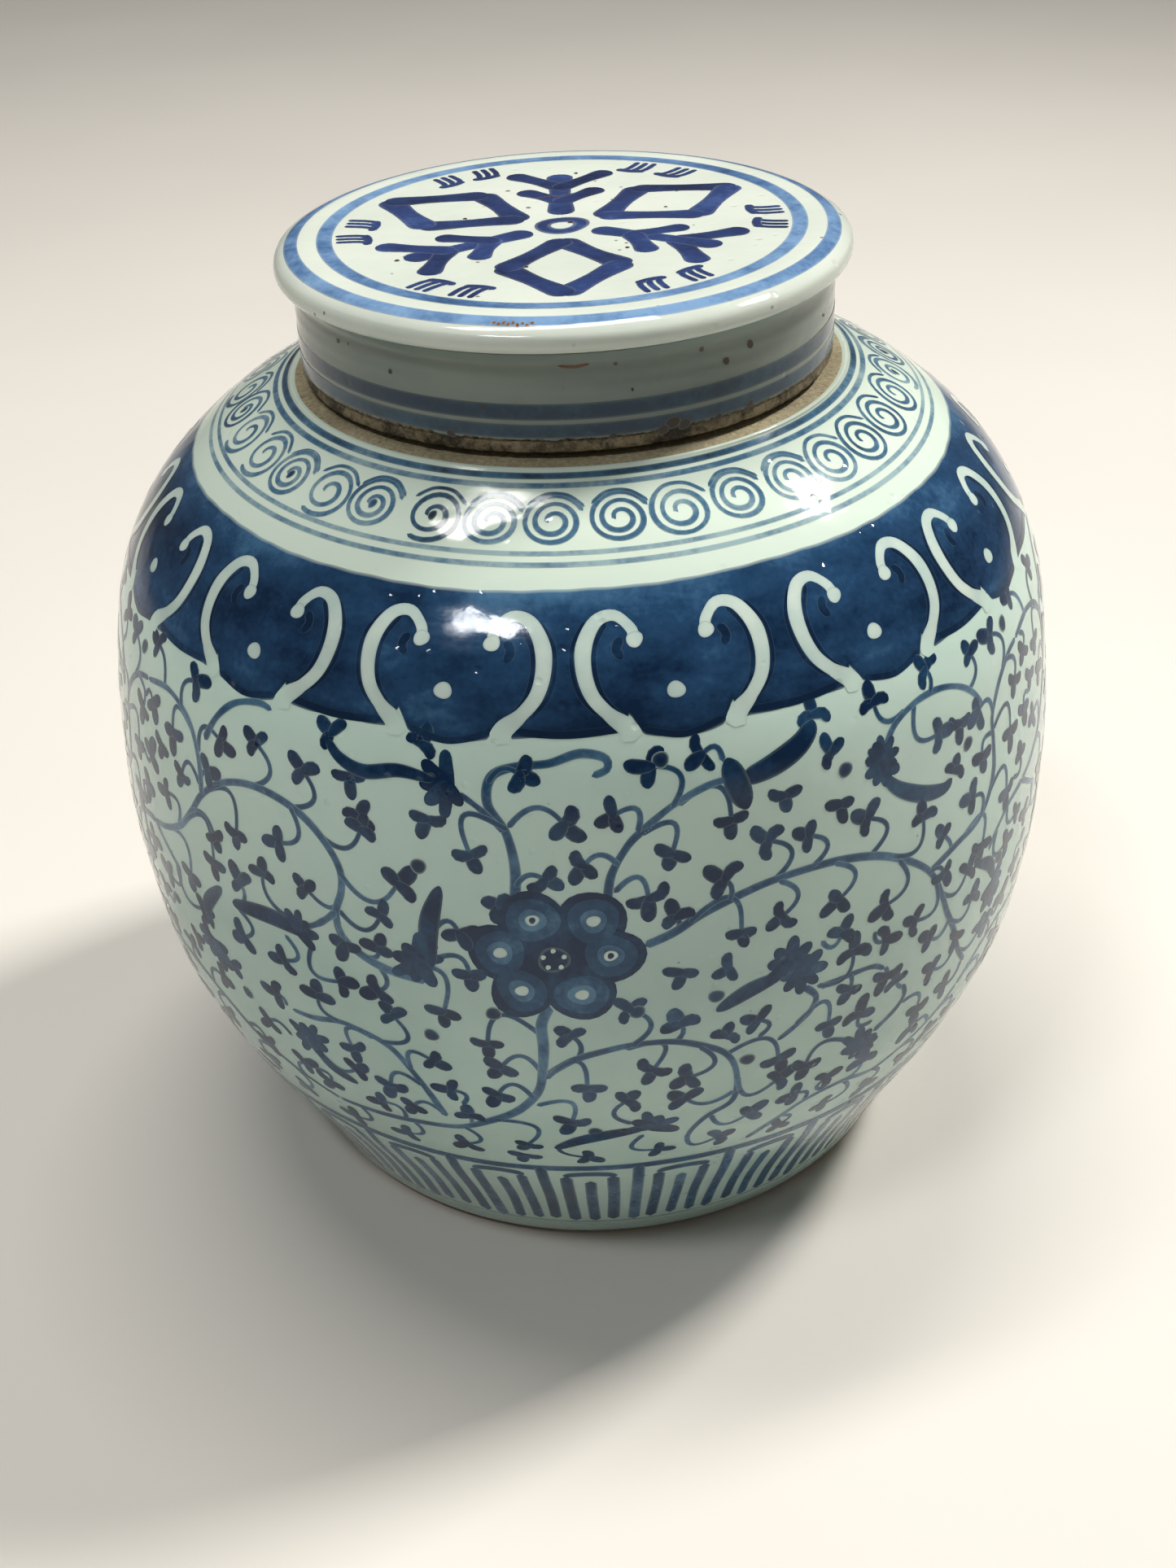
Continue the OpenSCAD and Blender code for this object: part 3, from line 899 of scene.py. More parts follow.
# Sprigs: where one leaves its stem, where its leaf is, and its bow to the left as a share of its length
SPRIGS = [
    (-8.3, 146.5, -12.4, 140.5, -0.75), (-8.4, 147, -2.6, 148, 0.35), (-7.8, 133, -9.5, 129, 0.9),
    (-7.9, 133.5, -4.8, 135.6, 0.3), (-10.4, 156, -7, 158.3, 0.3), (5, 144.6, 8.2, 139.6, 0.7),
    (4.8, 145, 2.4, 149.4, -0.6), (8.4, 149.6, 6.6, 158.6, -0.45), (9, 150, 14.6, 145, 0.5),
    (2.8, 138, -0.8, 138.6, -0.35), (2.1, 132, 5.6, 130, 0.6), (8.2, 121, 8.4, 124.6, -0.2),
    (9.6, 122.8, 15.2, 118, 0.62), (14, 126.6, 13.6, 131.6, -0.2), (18.8, 128.8, 18.6, 138.4, -0.5),
    (23.2, 129.3, 23.2, 137, -0.55), (19.4, 128.6, 19.8, 119.6, 0.45), (26, 128.6, 26.6, 119.2, 0.5),
    (30.6, 127, 30.6, 136, -0.55), (33.6, 124.4, 38.4, 129.8, -0.45), (34.6, 122.6, 32.8, 112.4, 0.45),
    (40, 115.6, 41.6, 122.4, -0.6), (39.2, 114.6, 41.8, 112.2, 0.25), (40.6, 111, 37.4, 103.6, 0.5),
    (41.6, 107, 46.4, 107.6, -0.35), (43.6, 98, 40.2, 95.6, 0.35), (43.8, 96.8, 48, 98.4, -0.4),
    (46, 88, 41.8, 84.4, 0.35), (45, 118, 49.4, 111.6, 0.6), (48.8, 120, 47.2, 126.4, -0.4),
    (50.6, 124, 55, 119.6, 0.6), (52, 138, 49.4, 134.6, -0.4), (52, 138.6, 56.4, 134, 0.6),
    (52.2, 142, 49, 146, -0.4), (37, 156.2, 32.8, 160.2, 0.35), (38.4, 156.6, 41.4, 147.2, -0.4),
    (41, 156.8, 41.2, 161.6, -0.2), (47.6, 152.2, 49.2, 159.2, -0.3), (55.2, 150.2, 54.2, 159.4, -0.4),
    (56.4, 151.6, 58.4, 145, 0.4), (-6, 95.4, -12, 92.2, -0.6), (-6.4, 84, -10.8, 85.2, -0.5),
    (-6.1, 82, -1.6, 79.2, 0.8), (-7.6, 75.6, -11.6, 76, -0.5), (-7.4, 73, -3.6, 67.2, 0.6),
    (-2.4, 88.6, -3, 95.4, -0.2), (3.4, 91.8, 3.4, 102, -0.4), (8, 91.4, 8.6, 96.4, -0.2),
    (2.6, 90.8, 5.6, 83.6, 0.7), (10.6, 88.8, 9.6, 79.4, 0.5), (13.6, 84.6, 20, 79, 0.4),
    (15, 72, 9.2, 72.4, 0.25), (15.2, 76.6, 20.2, 71.6, -0.5), (3.4, 65.4, 2.6, 74, 0.4),
    (12.4, 64.6, 17.2, 61, -0.4), (9.9, 58, 14, 53.4, -0.5), (-27.3, 131.6, -20.4, 131.6, -0.4),
    (-27, 129, -31.6, 124.6, 0.5), (-27.7, 122, -22.6, 122.8, -0.4), (-28, 118, -27.4, 113, 0.1),
    (-25, 111.4, -23.2, 114, -0.3), (-30, 139.8, -24.4, 142.6, -0.35), (-33.4, 143.8, -35, 133.8, 0.4),
    (-33, 143.4, -31.4, 152.4, -0.45), (-38.6, 144.8, -38, 154.8, -0.45), (-47, 137, -41.4, 131.4, 0.6),
    (-47.6, 138, -51.4, 137.6, -0.55), (-47.7, 146, -43.8, 151.8, 0.45), (-49, 150.2, -53.2, 146.6, -0.6),
    (-51.4, 153.8, -49.4, 161, 0.3), (-55.6, 155.4, -58.6, 162.4, -0.2), (-47.4, 139, -46.2, 142.6, 0.2),
    (-31.6, 110.4, -28.4, 102.2, -0.55), (-35.4, 110, -36, 102.4, 0.5), (-42.6, 111, -42.2, 103.2, 0.5),
    (-33.8, 115, -37.8, 124, 0.25), (-41.6, 113, -41.6, 118.4, -0.2), (-24.6, 87, -22.4, 96, -0.5),
    (-29.6, 89.4, -32, 95.2, 0.3), (-25.4, 87.2, -28.6, 81.8, -0.6), (-20.4, 75, -24.6, 72.4, -0.5),
    (-21.4, 80, -18.6, 84.4, 0.6), (-22, 109, -16.4, 100.2, 0.6), (-23.4, 109.6, -23.8, 102.6, 0.3),
    (-16.8, 114.4, -13.2, 111.2, 0.4), (-16.6, 122, -14, 121.6, 0.5), (-34, 76, -29, 74.4, -0.3),
    (-37.4, 87.4, -38.6, 90, -0.3), (-52, 124.4, -46, 120, 0.7), (-53, 123, -55.4, 129.4, -0.55),
    (-57, 118.6, -51.4, 111, 0.5), (-49.8, 130, -45.4, 127.4, 0.3), (-54.4, 110, -57.6, 104.6, 0.4),
    (-55, 110.4, -50, 103.2, -0.4), (53, 112, 55.6, 104.4, -0.5), (55.6, 115.2, 58.2, 109.6, -0.4),
    (24, 98, 28.6, 103.6, -0.4), (33.2, 94.6, 33.6, 92, 0.2), (31.4, 106.6, 33, 102.8, -0.3),
    (28.4, 97.4, 28.4, 93.2, 0.1), (21.6, 88, 26, 84.6, 0.7), (32.6, 79, 30.4, 83.2, 0.4),
    (24.4, 110, 27, 109.8, -0.5), (36.6, 85, 35.4, 88.4, 0.1), (29, 76.4, 23.6, 73.2, -0.4),
    (37, 79.6, 40.2, 73.6, 0.4), (47, 84, 51.6, 84.4, -0.3), (48.4, 79, 45.4, 74.4, 0.3),
    (-18.6, 66, -22.4, 66.4, -0.4), (-18.2, 61, -15.4, 66.8, -0.3), (-12.6, 66.6, -9.2, 56.6, 0.55),
    (-16.6, 61.8, -17, 53.4, 0.4), (-23.4, 59.6, -25, 51.8, 0.35), (-24.2, 59.4, -26.6, 64.6, -0.4),
    (-31, 58.2, -33.2, 50.6, 0.4), (-3, 60.6, -2.4, 50.6, -0.5), (4.6, 60.4, 6.4, 52.2, -0.5),
    (22.2, 55, 22.6, 50.6, 0.5), (24.6, 58.6, 23, 63.4, -0.4), (30.4, 60.2, 28.6, 51.8, 0.5),
    (30, 60.4, 32.4, 65, -0.3), (35.4, 58, 36.4, 50.8, 0.3), (39.4, 60.4, 42.4, 54, 0.4),
    (44, 64, 40.6, 67.4, -0.3), (45.4, 65.4, 49.6, 60.6, 0.4), (50.6, 72, 54.6, 67, 0.4),
    (54.6, 77.6, 53.4, 83.6, -0.3), (57.6, 79.2, 58.6, 73.4, 0.3), (-55.4, 78.2, -56.6, 84.6, 0.3),
    (-51, 75, -52.4, 67.6, -0.4), (-47, 70.4, -43.8, 68.8, 0.4), (-43, 66, -46.4, 59.6, -0.4),
    (-38.4, 61.4, -37.6, 68, 0.3), (-40.4, 63.2, -40.8, 54, 0.35), (-53, 77, -49.6, 83, 0.3),
    (-38, 77, -41.6, 78, -0.3),
]

# Small dots between the sprigs
DOTS = [(-18, 136.6), (-11, 101.2), (-18.2, 92.6), (7.6, 159.6), (4, 101.4), (16.2, 81.4), (54, 102.6),
        (-1, 63), (12.4, 102.6), (57.6, 159), (-57.2, 98), (46.6, 140.4), (-44.4, 84), (28, 149)]

# Small leaves that grow from no visible stem: place and heading
LOOSE_LEAVES = [(-50, 97, 200), (-46, 91, 300), (-54, 90, 20), (46, 90, 240), (53, 94, 330),
                (-58, 68, 260), (-56, 56, 280), (-49, 53, 250), (49, 52, 270), (56, 55, 260),
                (58, 64, 60), (-10, 51, 260), (8.8, 110.6, 250), (13.8, 109.6, 200), (13.4, 90.6, 60),
                (-56, 140.6, 250), (20.6, 147.6, 270), (26.6, 153.6, 120), (27.2, 141.8, 270),
                (45.4, 146.6, 250), (-24.6, 145, 60)]


def heading_step(heading, length, z):
    """The change in angle and height of a step on the surface. Heading 0 runs right and 90 runs up."""
    ka, kz = jar_scale(z)
    q = math.radians(heading)
    return length * math.cos(q) / ka, length * math.sin(q) / kz


def leaf(paint, angle, z, heading, size=1.0):
    """A leaf of three lobes: a long one ahead and one to each side."""
    for turn, length, width in ((0, 4.7, 3.1), (88, 3.9, 2.7), (-88, 3.9, 2.7)):
        length *= size * CHANCE.uniform(0.85, 1.15)
        width *= size * CHANCE.uniform(0.9, 1.1)
        way = heading + turn + CHANCE.uniform(-12, 12)
        bend = CHANCE.uniform(-14, 14) + (turn * 0.2)
        steps = [heading_step(way, -0.9, z), heading_step(way, length * 0.55, z),
                 heading_step(way + bend, length, z)]
        path = [(angle + da, z + dz) for da, dz in steps]
        paint.stroke(path, width, 0.88 + CHANCE.uniform(-0.14, 0.1), step=0.7, extra=0.016, edge=0.25,
                     swell=lambda s: 0.55 + 0.45 * np.sin(np.clip(s, 0, 1) * math.pi * 0.85))


def bow(start, end, share):
    """Points along an arc from start to end, bowed to the left by a share of its length."""
    scale = np.array(jar_scale((start[1] + end[1]) / 2))
    a, b = np.array(start) * scale, np.array(end) * scale
    chord = b - a
    left = np.array([-chord[1], chord[0]])
    t = np.linspace(0, 1, 7)[:, None]
    lean = 4 * t * (1 - t) * (1 + 0.35 * (t - 0.5))
    return (a + chord * t + left * share * lean) / scale


def sprig(paint, a0, z0, a1, z1, share):
    """A curled tendril from a stem, with a leaf at its tip."""
    path = bow((a0, z0), (a1, z1), share)
    end = (path[-1] - path[-2]) * jar_scale(z1)
    heading = math.degrees(math.atan2(end[1], end[0]))
    paint.stroke(path, 1.15, 0.42 + CHANCE.uniform(-0.1, 0.16), swell=lambda s: 1.25 - 0.3 * s)
    leaf(paint, a1, z1, heading, CHANCE.uniform(0.95, 1.18))


def brush(paint, path, width, tone=0.9, point=0.35):
    """A long pointed leaf, fat in the middle."""
    paint.stroke(path, width, tone, extra=0.02, edge=0.25,
                 swell=lambda s: point + (1 - point) * np.sin(s * math.pi * 0.9 + 0.15))


def bud(paint, angle, z, heading, size):
    """A large dark bud: a fan of fat lobes."""
    for turn in (-105, -62, -20, 22, 64, 108):
        reach = size * CHANCE.uniform(0.75, 1.15)
        near = heading_step(heading + turn, -0.15 * size, z)
        far = heading_step(heading + turn, reach, z)
        half = (far[0] * 0.5, far[1] * 0.5)
        path = [(angle + da, z + dz) for da, dz in (near, half, far)]
        width = size * CHANCE.uniform(0.42, 0.54)
        tone = 0.8 + CHANCE.uniform(-0.2, 0.15)
        paint.stroke(path, width, tone, extra=0.02, edge=0.4,
                     swell=lambda s: 1.05 - 0.5 * np.clip(s - 0.45, 0, 1))


ROSETTE = [(-6.3, 126), (-0.1, 125.6), (-9.8, 117.6), (1.5, 116.8), (-7.8, 108), (-1.6, 107)]
ROSETTE_HEART = (-4.3, 116.2)


def rosette(paint, white, shift):
    """The main flower: round petals, each with an eye, round a small centre."""
    paint.blob((ROSETTE_HEART[0] + shift, ROSETTE_HEART[1]), (8.6, 9.0), 0.92, extra=0.022, edge=0.5)
    for a, z in ROSETTE:
        paint.blob((a + shift, z), (7.2, 7.0), 0.92, turn=a * 9, extra=0.024, edge=0.5)
        paint.blob((a + shift, z), (5.6, 5.3), 0.6, turn=a * 5, extra=0.04, edge=0.5)
        paint.blob((a + shift, z), (2.9, 2.7), 0.28, turn=a * 5, extra=0.046, edge=0.5)
        white.blob((a + shift, z), (1.5, 1.3), 0.1, extra=0.05)
        paint.blob((a + shift, z), (0.7, 0.8), 0.9, extra=0.06, edge=0.3)
    centre = (ROSETTE_HEART[0] + shift, ROSETTE_HEART[1])
    paint.blob(centre, (3.4, 3.2), 1.0, extra=0.045, edge=0.3)
    for i in range(5):
        step = heading_step(i * 72 + 20, 2.3, centre[1])
        white.blob((centre[0] + step[0], centre[1] + step[1]), (0.55, 0.6), 0.3, extra=0.055)


def big_leaves(paint, shift):
    """The large buds and long leaves."""
    def moved(path):
        return [(a + shift, z) for a, z in path]

    brush(paint, moved([(-17.2, 112), (-17.4, 119), (-17.0, 125), (-15.8, 132.6)]), 4.6, 0.92, 0.3)
    bud(paint, -18.6 + shift, 112.6, 190, 7.2)
    bud(paint, -18.2 + shift, 113.4, 120, 5.6)
    bud(paint, -14.6 + shift, 155, 200, 6.6)
    brush(paint, moved([(-16, 156), (-20, 157), (-24, 155.6), (-27, 157.4), (-28.6, 160.4)]), 3.2, 0.85, 0.5)
    leaf(paint, -28.2 + shift, 161.6, 150)
    leaf(paint, -25.6 + shift, 154, 270)
    leaf(paint, -17.6 + shift, 162.6, 60)
    leaf(paint, -16.8 + shift, 147.6, 250)
    brush(paint, moved([(14.6, 158), (15.4, 153), (16.4, 146.6)]), 5.4, 0.94, 0.5)
    brush(paint, moved([(16, 153), (19.6, 154.6), (23, 157.4), (25, 161)]), 5.2, 0.9, 0.6)
    leaf(paint, 25 + shift, 162, 90)
    bud(paint, 33 + shift, 147, 215, 6.4)
    bud(paint, 33 + shift, 148, 30, 5.0)
    brush(paint, moved([(33, 144), (35, 139.6), (38.4, 135.6), (41.8, 133.8), (43.4, 135)]), 4.0, 0.74, 0.45)
    leaf(paint, 43.8 + shift, 136.4, 60)
    bud(paint, 20.6 + shift, 106.4, 100, 6.6)
    bud(paint, 22 + shift, 103.6, 290, 6.4)
    brush(paint, moved([(20, 104.4), (16, 102.2), (12.4, 98.4)]), 4.2, 0.86, 0.4)
    brush(paint, moved([(-43.4, 111.6), (-37, 113.4), (-31, 112.4)]), 4.6, 0.86, 0.5)
    bud(paint, -33.4 + shift, 113, 60, 5.4)
    bud(paint, -35 + shift, 79.4, 40, 6.0)
    bud(paint, -35 + shift, 79.6, 220, 5.6)
    brush(paint, moved([(-34.6, 77), (-32.6, 72), (-29.4, 69)]), 3.4, 0.7, 0.4)
    bud(paint, 31 + shift, 72.4, 70, 6.2)
    bud(paint, 31.4 + shift, 72, 250, 5.2)
    bud(paint, 5.4 + shift, 63.6, 80, 6.4)
    brush(paint, moved([(4.6, 63), (0.4, 61.4), (-3, 59), (-6, 55.2)]), 4.2, 0.85, 0.4)
    brush(paint, moved([(-48.4, 99), (-48.6, 106), (-45.2, 114)]), 4.0, 0.7, 0.35)
    bud(paint, -49 + shift, 94, 260, 7.0)
    bud(paint, 53 + shift, 96, 300, 6.6)
    brush(paint, moved([(48.6, 107), (51.6, 103.6), (53, 98)]), 3.6, 0.75, 0.35)


def fill_gaps(paint, sprays):
    """More sprigs, wherever the bare glaze still shows wider than the painter would leave it."""
    painted = np.vstack([p for one in sprays for p in one.points]) / MM
    tree = KDTree(len(painted))
    for i, p in enumerate(painted):
        tree.insert(p, i)
    tree.balance()
    placed = []
    for row, z in enumerate(np.arange(GAP_LOW, GAP_HIGH, GAP_STEP)):
        columns = int(2 * math.pi * float(radius(z)) / GAP_STEP)
        for j in range(columns):
            a = (j + 0.5 * (row % 2) + CHANCE.uniform(-0.3, 0.3)) * 360 / columns
            spot = (jar_surface(np.array([a]), np.array([z]), 0.0)[0][0] / MM).tolist()
            near, _, gap = tree.find(spot)
            if gap < GAP_CLEAR or any(math.dist(spot, other) < 2 * GAP_CLEAR for other in placed):
                continue
            placed.append(spot)
            near_angle = math.degrees(math.atan2(near[0], -near[1]))
            near_angle += 360 * round((a - near_angle) / 360)
            sprig(paint, near_angle, near[2], a, z, CHANCE.choice([-0.5, 0.5]))


def spray(paint, white, shift):
    """One third of the vines. Each third has its own small differences."""
    for width, path in STEMS:
        moved = [(a + shift, z) for a, z in path]
        tone = 0.4 + CHANCE.uniform(-0.06, 0.12)
        paint.stroke(moved, width, tone, swell=lambda s: 1.08 - 0.25 * s + 0.08 * np.sin(s * 17))
    for a0, z0, a1, z1, share in SPRIGS:
        sprig(paint, a0 + shift, z0, a1 + shift, z1, share)
    for a, z in DOTS:
        paint.blob((a + shift, z), (1.7, 1.9), 0.95, turn=z, extra=0.016)
    for a, z, heading in LOOSE_LEAVES:
        leaf(paint, a + shift, z, heading)
    big_leaves(paint, shift)
    rosette(paint, white, shift)


# ---------------------------------------------------------------- painting: lid
LATTICE_TURN = 30.0


def turned(path, degrees):
    q = math.radians(degrees)
    return [(x * math.cos(q) - y * math.sin(q), x * math.sin(q) + y * math.cos(q)) for x, y in path]


def lid_rings(paint):
    """Two pale rings round the top of the lid."""
    for r, width, tone in ((61.0, 3.2, 0.2), (53.4, 3.6, 0.3)):
        ring = [(r * math.sin(math.radians(a)), -r * math.cos(math.radians(a))) for a in range(180, 541, 3)]
        t = np.linspace(0, 2 * math.pi, 200)
        tones = tone + 0.14 * np.sin(2 * t + r) + 0.08 * np.sin(5 * t)
        paint.stroke(ring, width, tones, step=1.4, curved=False, closed=True, edge=0.1)


def bold(paint, start, end, width):
    """One broad, slightly uneven brush stroke, run a little past both of its ends."""
    (ax, ay), (bx, by) = start, end
    length = math.dist(start, end)
    ux, uy = (bx - ax) / length * 1.6, (by - ay) / length * 1.6
    middle = ((ax + bx) / 2 + CHANCE.uniform(-0.4, 0.4), (ay + by) / 2)
    path = turned([(ax - ux, ay - uy), middle, (bx + ux, by + uy)], LATTICE_TURN)
    width += CHANCE.uniform(-0.5, 0.5)
    tone = 0.68 + CHANCE.uniform(-0.16, 0.2)
    paint.stroke(path, width, tone, extra=0.006, step=1.0, edge=0.3,
                 swell=lambda s: 0.92 + 0.12 * np.cos(s * 6.3))


# One lozenge frame and one feathered bar, on an arm that runs to the right from the middle
LOZENGE = [(11.5, 0), (28.5, 12.5), (46.0, 0), (28.5, -12.5)]
FEATHERS = [((9.5, 0), (38, 0)), ((18, 0), (26, 8.5)), ((18, 0), (26, -8.5)), ((29, 0), (39.5, 11)),
            ((29, 0), (39.5, -11))]


def lattice_star(paint):
    """A six-armed star of broad strokes: lozenges and feathered bars in turn, round a small ring."""
    for k in range(3):
        corners = turned(LOZENGE, 120 * k)
        for start, end in zip(corners, corners[1:] + corners[:1]):
            bold(paint, start, end, 6.4)
        for barb in FEATHERS:
            start, end = turned(barb, 120 * k + 60)
            bold(paint, start, end, 5.8)
    paint.blob((0, 0), (6.2, 6.0), 0.62, hollow=0.4, extra=0.01, around_steps=40, edge=0.3)


def comb(paint, angle, r):
    """A small comb of curved ticks, with its bar towards the middle."""
    q = math.radians(angle)
    out = (math.sin(q), -math.cos(q))
    side = (math.cos(q), math.sin(q))

    def spot(u, v):
        return (r * out[0] + u * side[0] + v * out[0], r * out[1] + u * side[1] + v * out[1])

    paint.stroke([spot(-3.6, -1.5), spot(0, -2.2), spot(3.6, -1.7)], 2.1, 0.7, step=0.5, edge=0.2)
    for u in (-2.6, -0.4, 1.8):
        paint.stroke([spot(u, -1.8), spot(u - 0.9, 0.6), spot(u - 1.3, 5.0)], 1.5, 0.7, step=0.5, edge=0.2)


def lid_combs(paint):
    """A pair of combs at the end of each arm of the star."""
    for k in range(6):
        for side in (-6.6, 6.6):
            angle = 30 + 60 * k + side + CHANCE.uniform(-0.7, 0.7)
            comb(paint, angle, 45.3 + CHANCE.uniform(-0.6, 0.6))


SIDE_SPECKS = [(32, 220, 0.7), (-37, 220, 0.5), (-17, 215, 0.4), (-27, 227, 0.4), (24, 226.5, 0.6),
               (38, 222, 0.8), (12, 218, 0.3), (-52, 223, 0.5), (66, 219, 0.4), (100, 224, 0.5),
               (-110, 217, 0.6), (150, 221, 0.4), (-160, 226, 0.5)]
RIM_GRIME = [(20, 209.4, 1.9), (18, 208.2, 1.4), (22.5, 208.6, 1.6), (30, 208.3, 1.0), (8, 208.4, 0.9),
             (-24, 208.6, 1.1), (38, 208.8, 1.2)]
TOP_SPECKS = [(2, 2, 0.7), (14, -18, 0.5), (-22, 8, 0.5), (24, 10, 0.4), (-8, -28, 0.5), (38, -8, 0.4),
              (-36, -20, 0.6), (4, 40, 0.5)]


def wear(side, top):
    """Iron specks, grime at the glaze's edge, a rusty chip on the flange and a hairline crack."""
    for a, z, size in SIDE_SPECKS:
        side.blob((a, z), (size, size * 1.3), 0.9, turn=a, edge=0.3)
    side.stroke([(-2, 224.2), (1, 223.8), (4, 224.3)], 0.5, 0.3)
    for a, z, size in RIM_GRIME:
        side.blob((a, z), (size, size * 0.7), 0.95, turn=a, edge=0.1)
    for x, y, size in TOP_SPECKS:
        top.blob((x, y), (size, size), 0.8, turn=x, edge=0.2)
    top.stroke([(-6, 21), (-2.5, 22.2), (0, 22), (3, 24)], 0.35, 0.4)
    for k in range(9):
        q = math.radians(-13.5 + k * 0.9)
        r = 62.0 + CHANCE.uniform(-0.4, 0.4)
        top.blob((r * math.sin(q), -r * math.cos(q)), (CHANCE.uniform(0.2, 0.6), 0.35), 0.1, turn=k * 20)


# Bands round the lid's side: height above its lower edge, width and tone
SKIRT_BANDS = [(9.4, 3.6, 0.5), (5.2, 3.0, 0.3)]


def skirt_bands(paint):
    """Two soft blue bands low on the side of the lid."""
    angles = np.linspace(180, 540, 220)
    t = np.linspace(0, 2 * math.pi, 200)
    for up, width, tone in SKIRT_BANDS:
        z = LID_LOW + up
        path = [(a, z + 0.2 * math.sin(math.radians(a * 2 + z))) for a in angles]
        paint.stroke(path, width, tone + 0.1 * np.sin(3 * t + z), step=1.6, curved=False, closed=True)


# ---------------------------------------------------------------- putting it together
def own(piece, material, slot, body, *nodes):
    """Gives a piece its material and its body, and lets it stand for the CAD nodes. Its slot is not used."""
    piece.data.materials.append(material)
    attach(piece, body)
    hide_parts(*nodes)
    return piece


def build_jar():
    glaze = body_glaze()
    bare = biscuit("neck_biscuit", (0.52, 0.45, 0.29), (0.33, 0.28, 0.17), (0.06, 0.05, 0.03), 0.6)
    foot_bare = biscuit("foot_biscuit", (0.52, 0.45, 0.33), (0.30, 0.22, 0.13), (0.07, 0.05, 0.03), 0.62,
                        gloss=0.7, glazed_above=2.0)
    own(jar_wall(), glaze, "painted_glaze", "jar", "lower_body", "upper_body")
    own(foot_ring(), foot_bare, "biscuit", "jar", "foot_ring")
    own(floor_plate(), glaze, "inner_glaze", "jar", "base")
    own(slip_band(), glaze, "inner_glaze", "jar", "seam_band")
    own(neck_collar(), bare, "biscuit", "jar", "neck")


def paint_jar():
    vine_blue = cobalt("vine_cobalt", body_paper_with_painted_light)
    wash_blue = cobalt("wash_cobalt", body_paper_with_painted_light, pale=(0.06, 0.16, 0.29), middle=(0.016, 0.058, 0.135),
                       dark=(0.003, 0.017, 0.05), patch=32, pooling=0.48, stretch=(1, 1, 2.2))
    line_blue = cobalt("line_cobalt", CREAM, pale=(0.31, 0.44, 0.47), middle=(0.06, 0.15, 0.25),
                       dark=(0.01, 0.025, 0.05))
    white = reserve("reserved_glaze")

    wash = Painting(ON_JAR, 0.03)
    shoulder_wash(wash)
    wash.finish("shoulder_wash", wash_blue)

    heart_white = Painting(ON_JAR, 0.07)
    heart_blue = Painting(ON_JAR, 0.05)
    hearts(heart_white, heart_blue)
    heart_blue.finish("heart_outlines", wash_blue)
    heart_white.finish("hearts", white)

    lines = Painting(ON_JAR, 0.035)
    spiral_band(lines)
    lines.finish("spiral_band", line_blue)

    fret = Painting(ON_JAR, 0.035)
    fret_band(fret)
    fret.finish("fret_band", vine_blue)

    eyes = Painting(ON_JAR, 0.05)
    sprays = [Painting(ON_JAR, 0.035) for _ in range(SECTORS)]
    for i, paint in enumerate(sprays):
        spray(paint, eyes, i * SECTOR)
    loose = Painting(ON_JAR, 0.035)
    fill_gaps(loose, sprays)
    for i, paint in enumerate(sprays):
        paint.finish(f"vines_{i + 1}", vine_blue)
    loose.finish("vine_sprigs", vine_blue)
    eyes.finish("flower_eyes", white)


def build_lid():
    top = lid_glaze("lid_top_glaze", WHITE_GLAZE, (0.58, 0.64, 0.57))
    # The side's glaze colours are its grey-green glaze, darkened as painted shade under the flange
    side = lid_glaze("lid_side_glaze_and_shade", (0.21, 0.25, 0.215), (0.16, 0.20, 0.18), RIM_TOP + 0.9)
    edge = biscuit("lid_biscuit", (0.38, 0.31, 0.19), (0.17, 0.135, 0.08), (0.010, 0.008, 0.006), 0.47)
    own(lid_plate(), top, "lid_glaze", "lid", "lid_top")
    own(lid_side(), side, "lid_glaze", "lid", "lid_skirt")
    own(lid_edge(), edge, "biscuit", "lid", "lid_rim")


def paint_lid():
    ring_blue = cobalt("ring_cobalt", WHITE_GLAZE, pale=(0.19, 0.33, 0.54), middle=(0.06, 0.14, 0.30))
    bold_blue = cobalt("lattice_cobalt", WHITE_GLAZE, pale=(0.07, 0.13, 0.34), middle=(0.02, 0.045, 0.16),
                       dark=(0.006, 0.014, 0.06), patch=60)
    # The side's bands and stains lie over its glaze, which is darkened as painted shade
    side_blue = cobalt("side_cobalt", SKIRT_GLAZE_AND_SHADE, pale=(0.026, 0.080, 0.125),
                       middle=(0.008, 0.036, 0.066))

    rings = Painting(ON_LID, 0.03)
    lid_rings(rings)
    rings.finish("lid_rings", ring_blue)

    lattice = Painting(ON_LID, 0.045)
    lattice_star(lattice)
    lid_combs(lattice)
    lattice.finish("lid_lattice", bold_blue)

    bands = Painting(ON_SKIRT, 0.06)
    skirt_bands(bands)
    bands.finish("lid_side_bands", side_blue)

    side_wear = Painting(ON_SKIRT, 0.1)
    top_wear = Painting(ON_LID, 0.09)
    wear(side_wear, top_wear)
    side_wear.finish("lid_side_wear", rust("side_rust", SKIRT_GLAZE_AND_SHADE))
    top_wear.finish("lid_top_wear", rust("top_rust", WHITE_GLAZE))


# ---------------------------------------------------------------- camera, light and floor
# In metres, degrees, and millimetres for the lens
CAMERA_AWAY = 0.437
CAMERA_UP = 0.3686
CAMERA_PITCH = 33.14
CAMERA_ROLL = -2.68
LENS = 44.84
SENSOR = 36.0
FLOOR_HALF = 4.0
LAMP_TARGET = (0, 0, 0.1)

# Lamps: name, place and size in metres, power in watts, colour, and spread in degrees
LAMPS = [
    ("key", (1.7, 0.8, 2.3), (0.5, 0.3), 8.2, (1.0, 0.965, 0.91), 60),
    ("over", (-0.2, 0.5, 2.6), (1.7, 0.3), 36.0, (1.0, 0.97, 0.92), 180),
    ("front", (-0.8, -1.1, 2.5), (0.6, 0.25), 17.0, (0.97, 0.99, 1.0), 180),
]
AMBIENT = 0.17
BACKDROP = 0.62


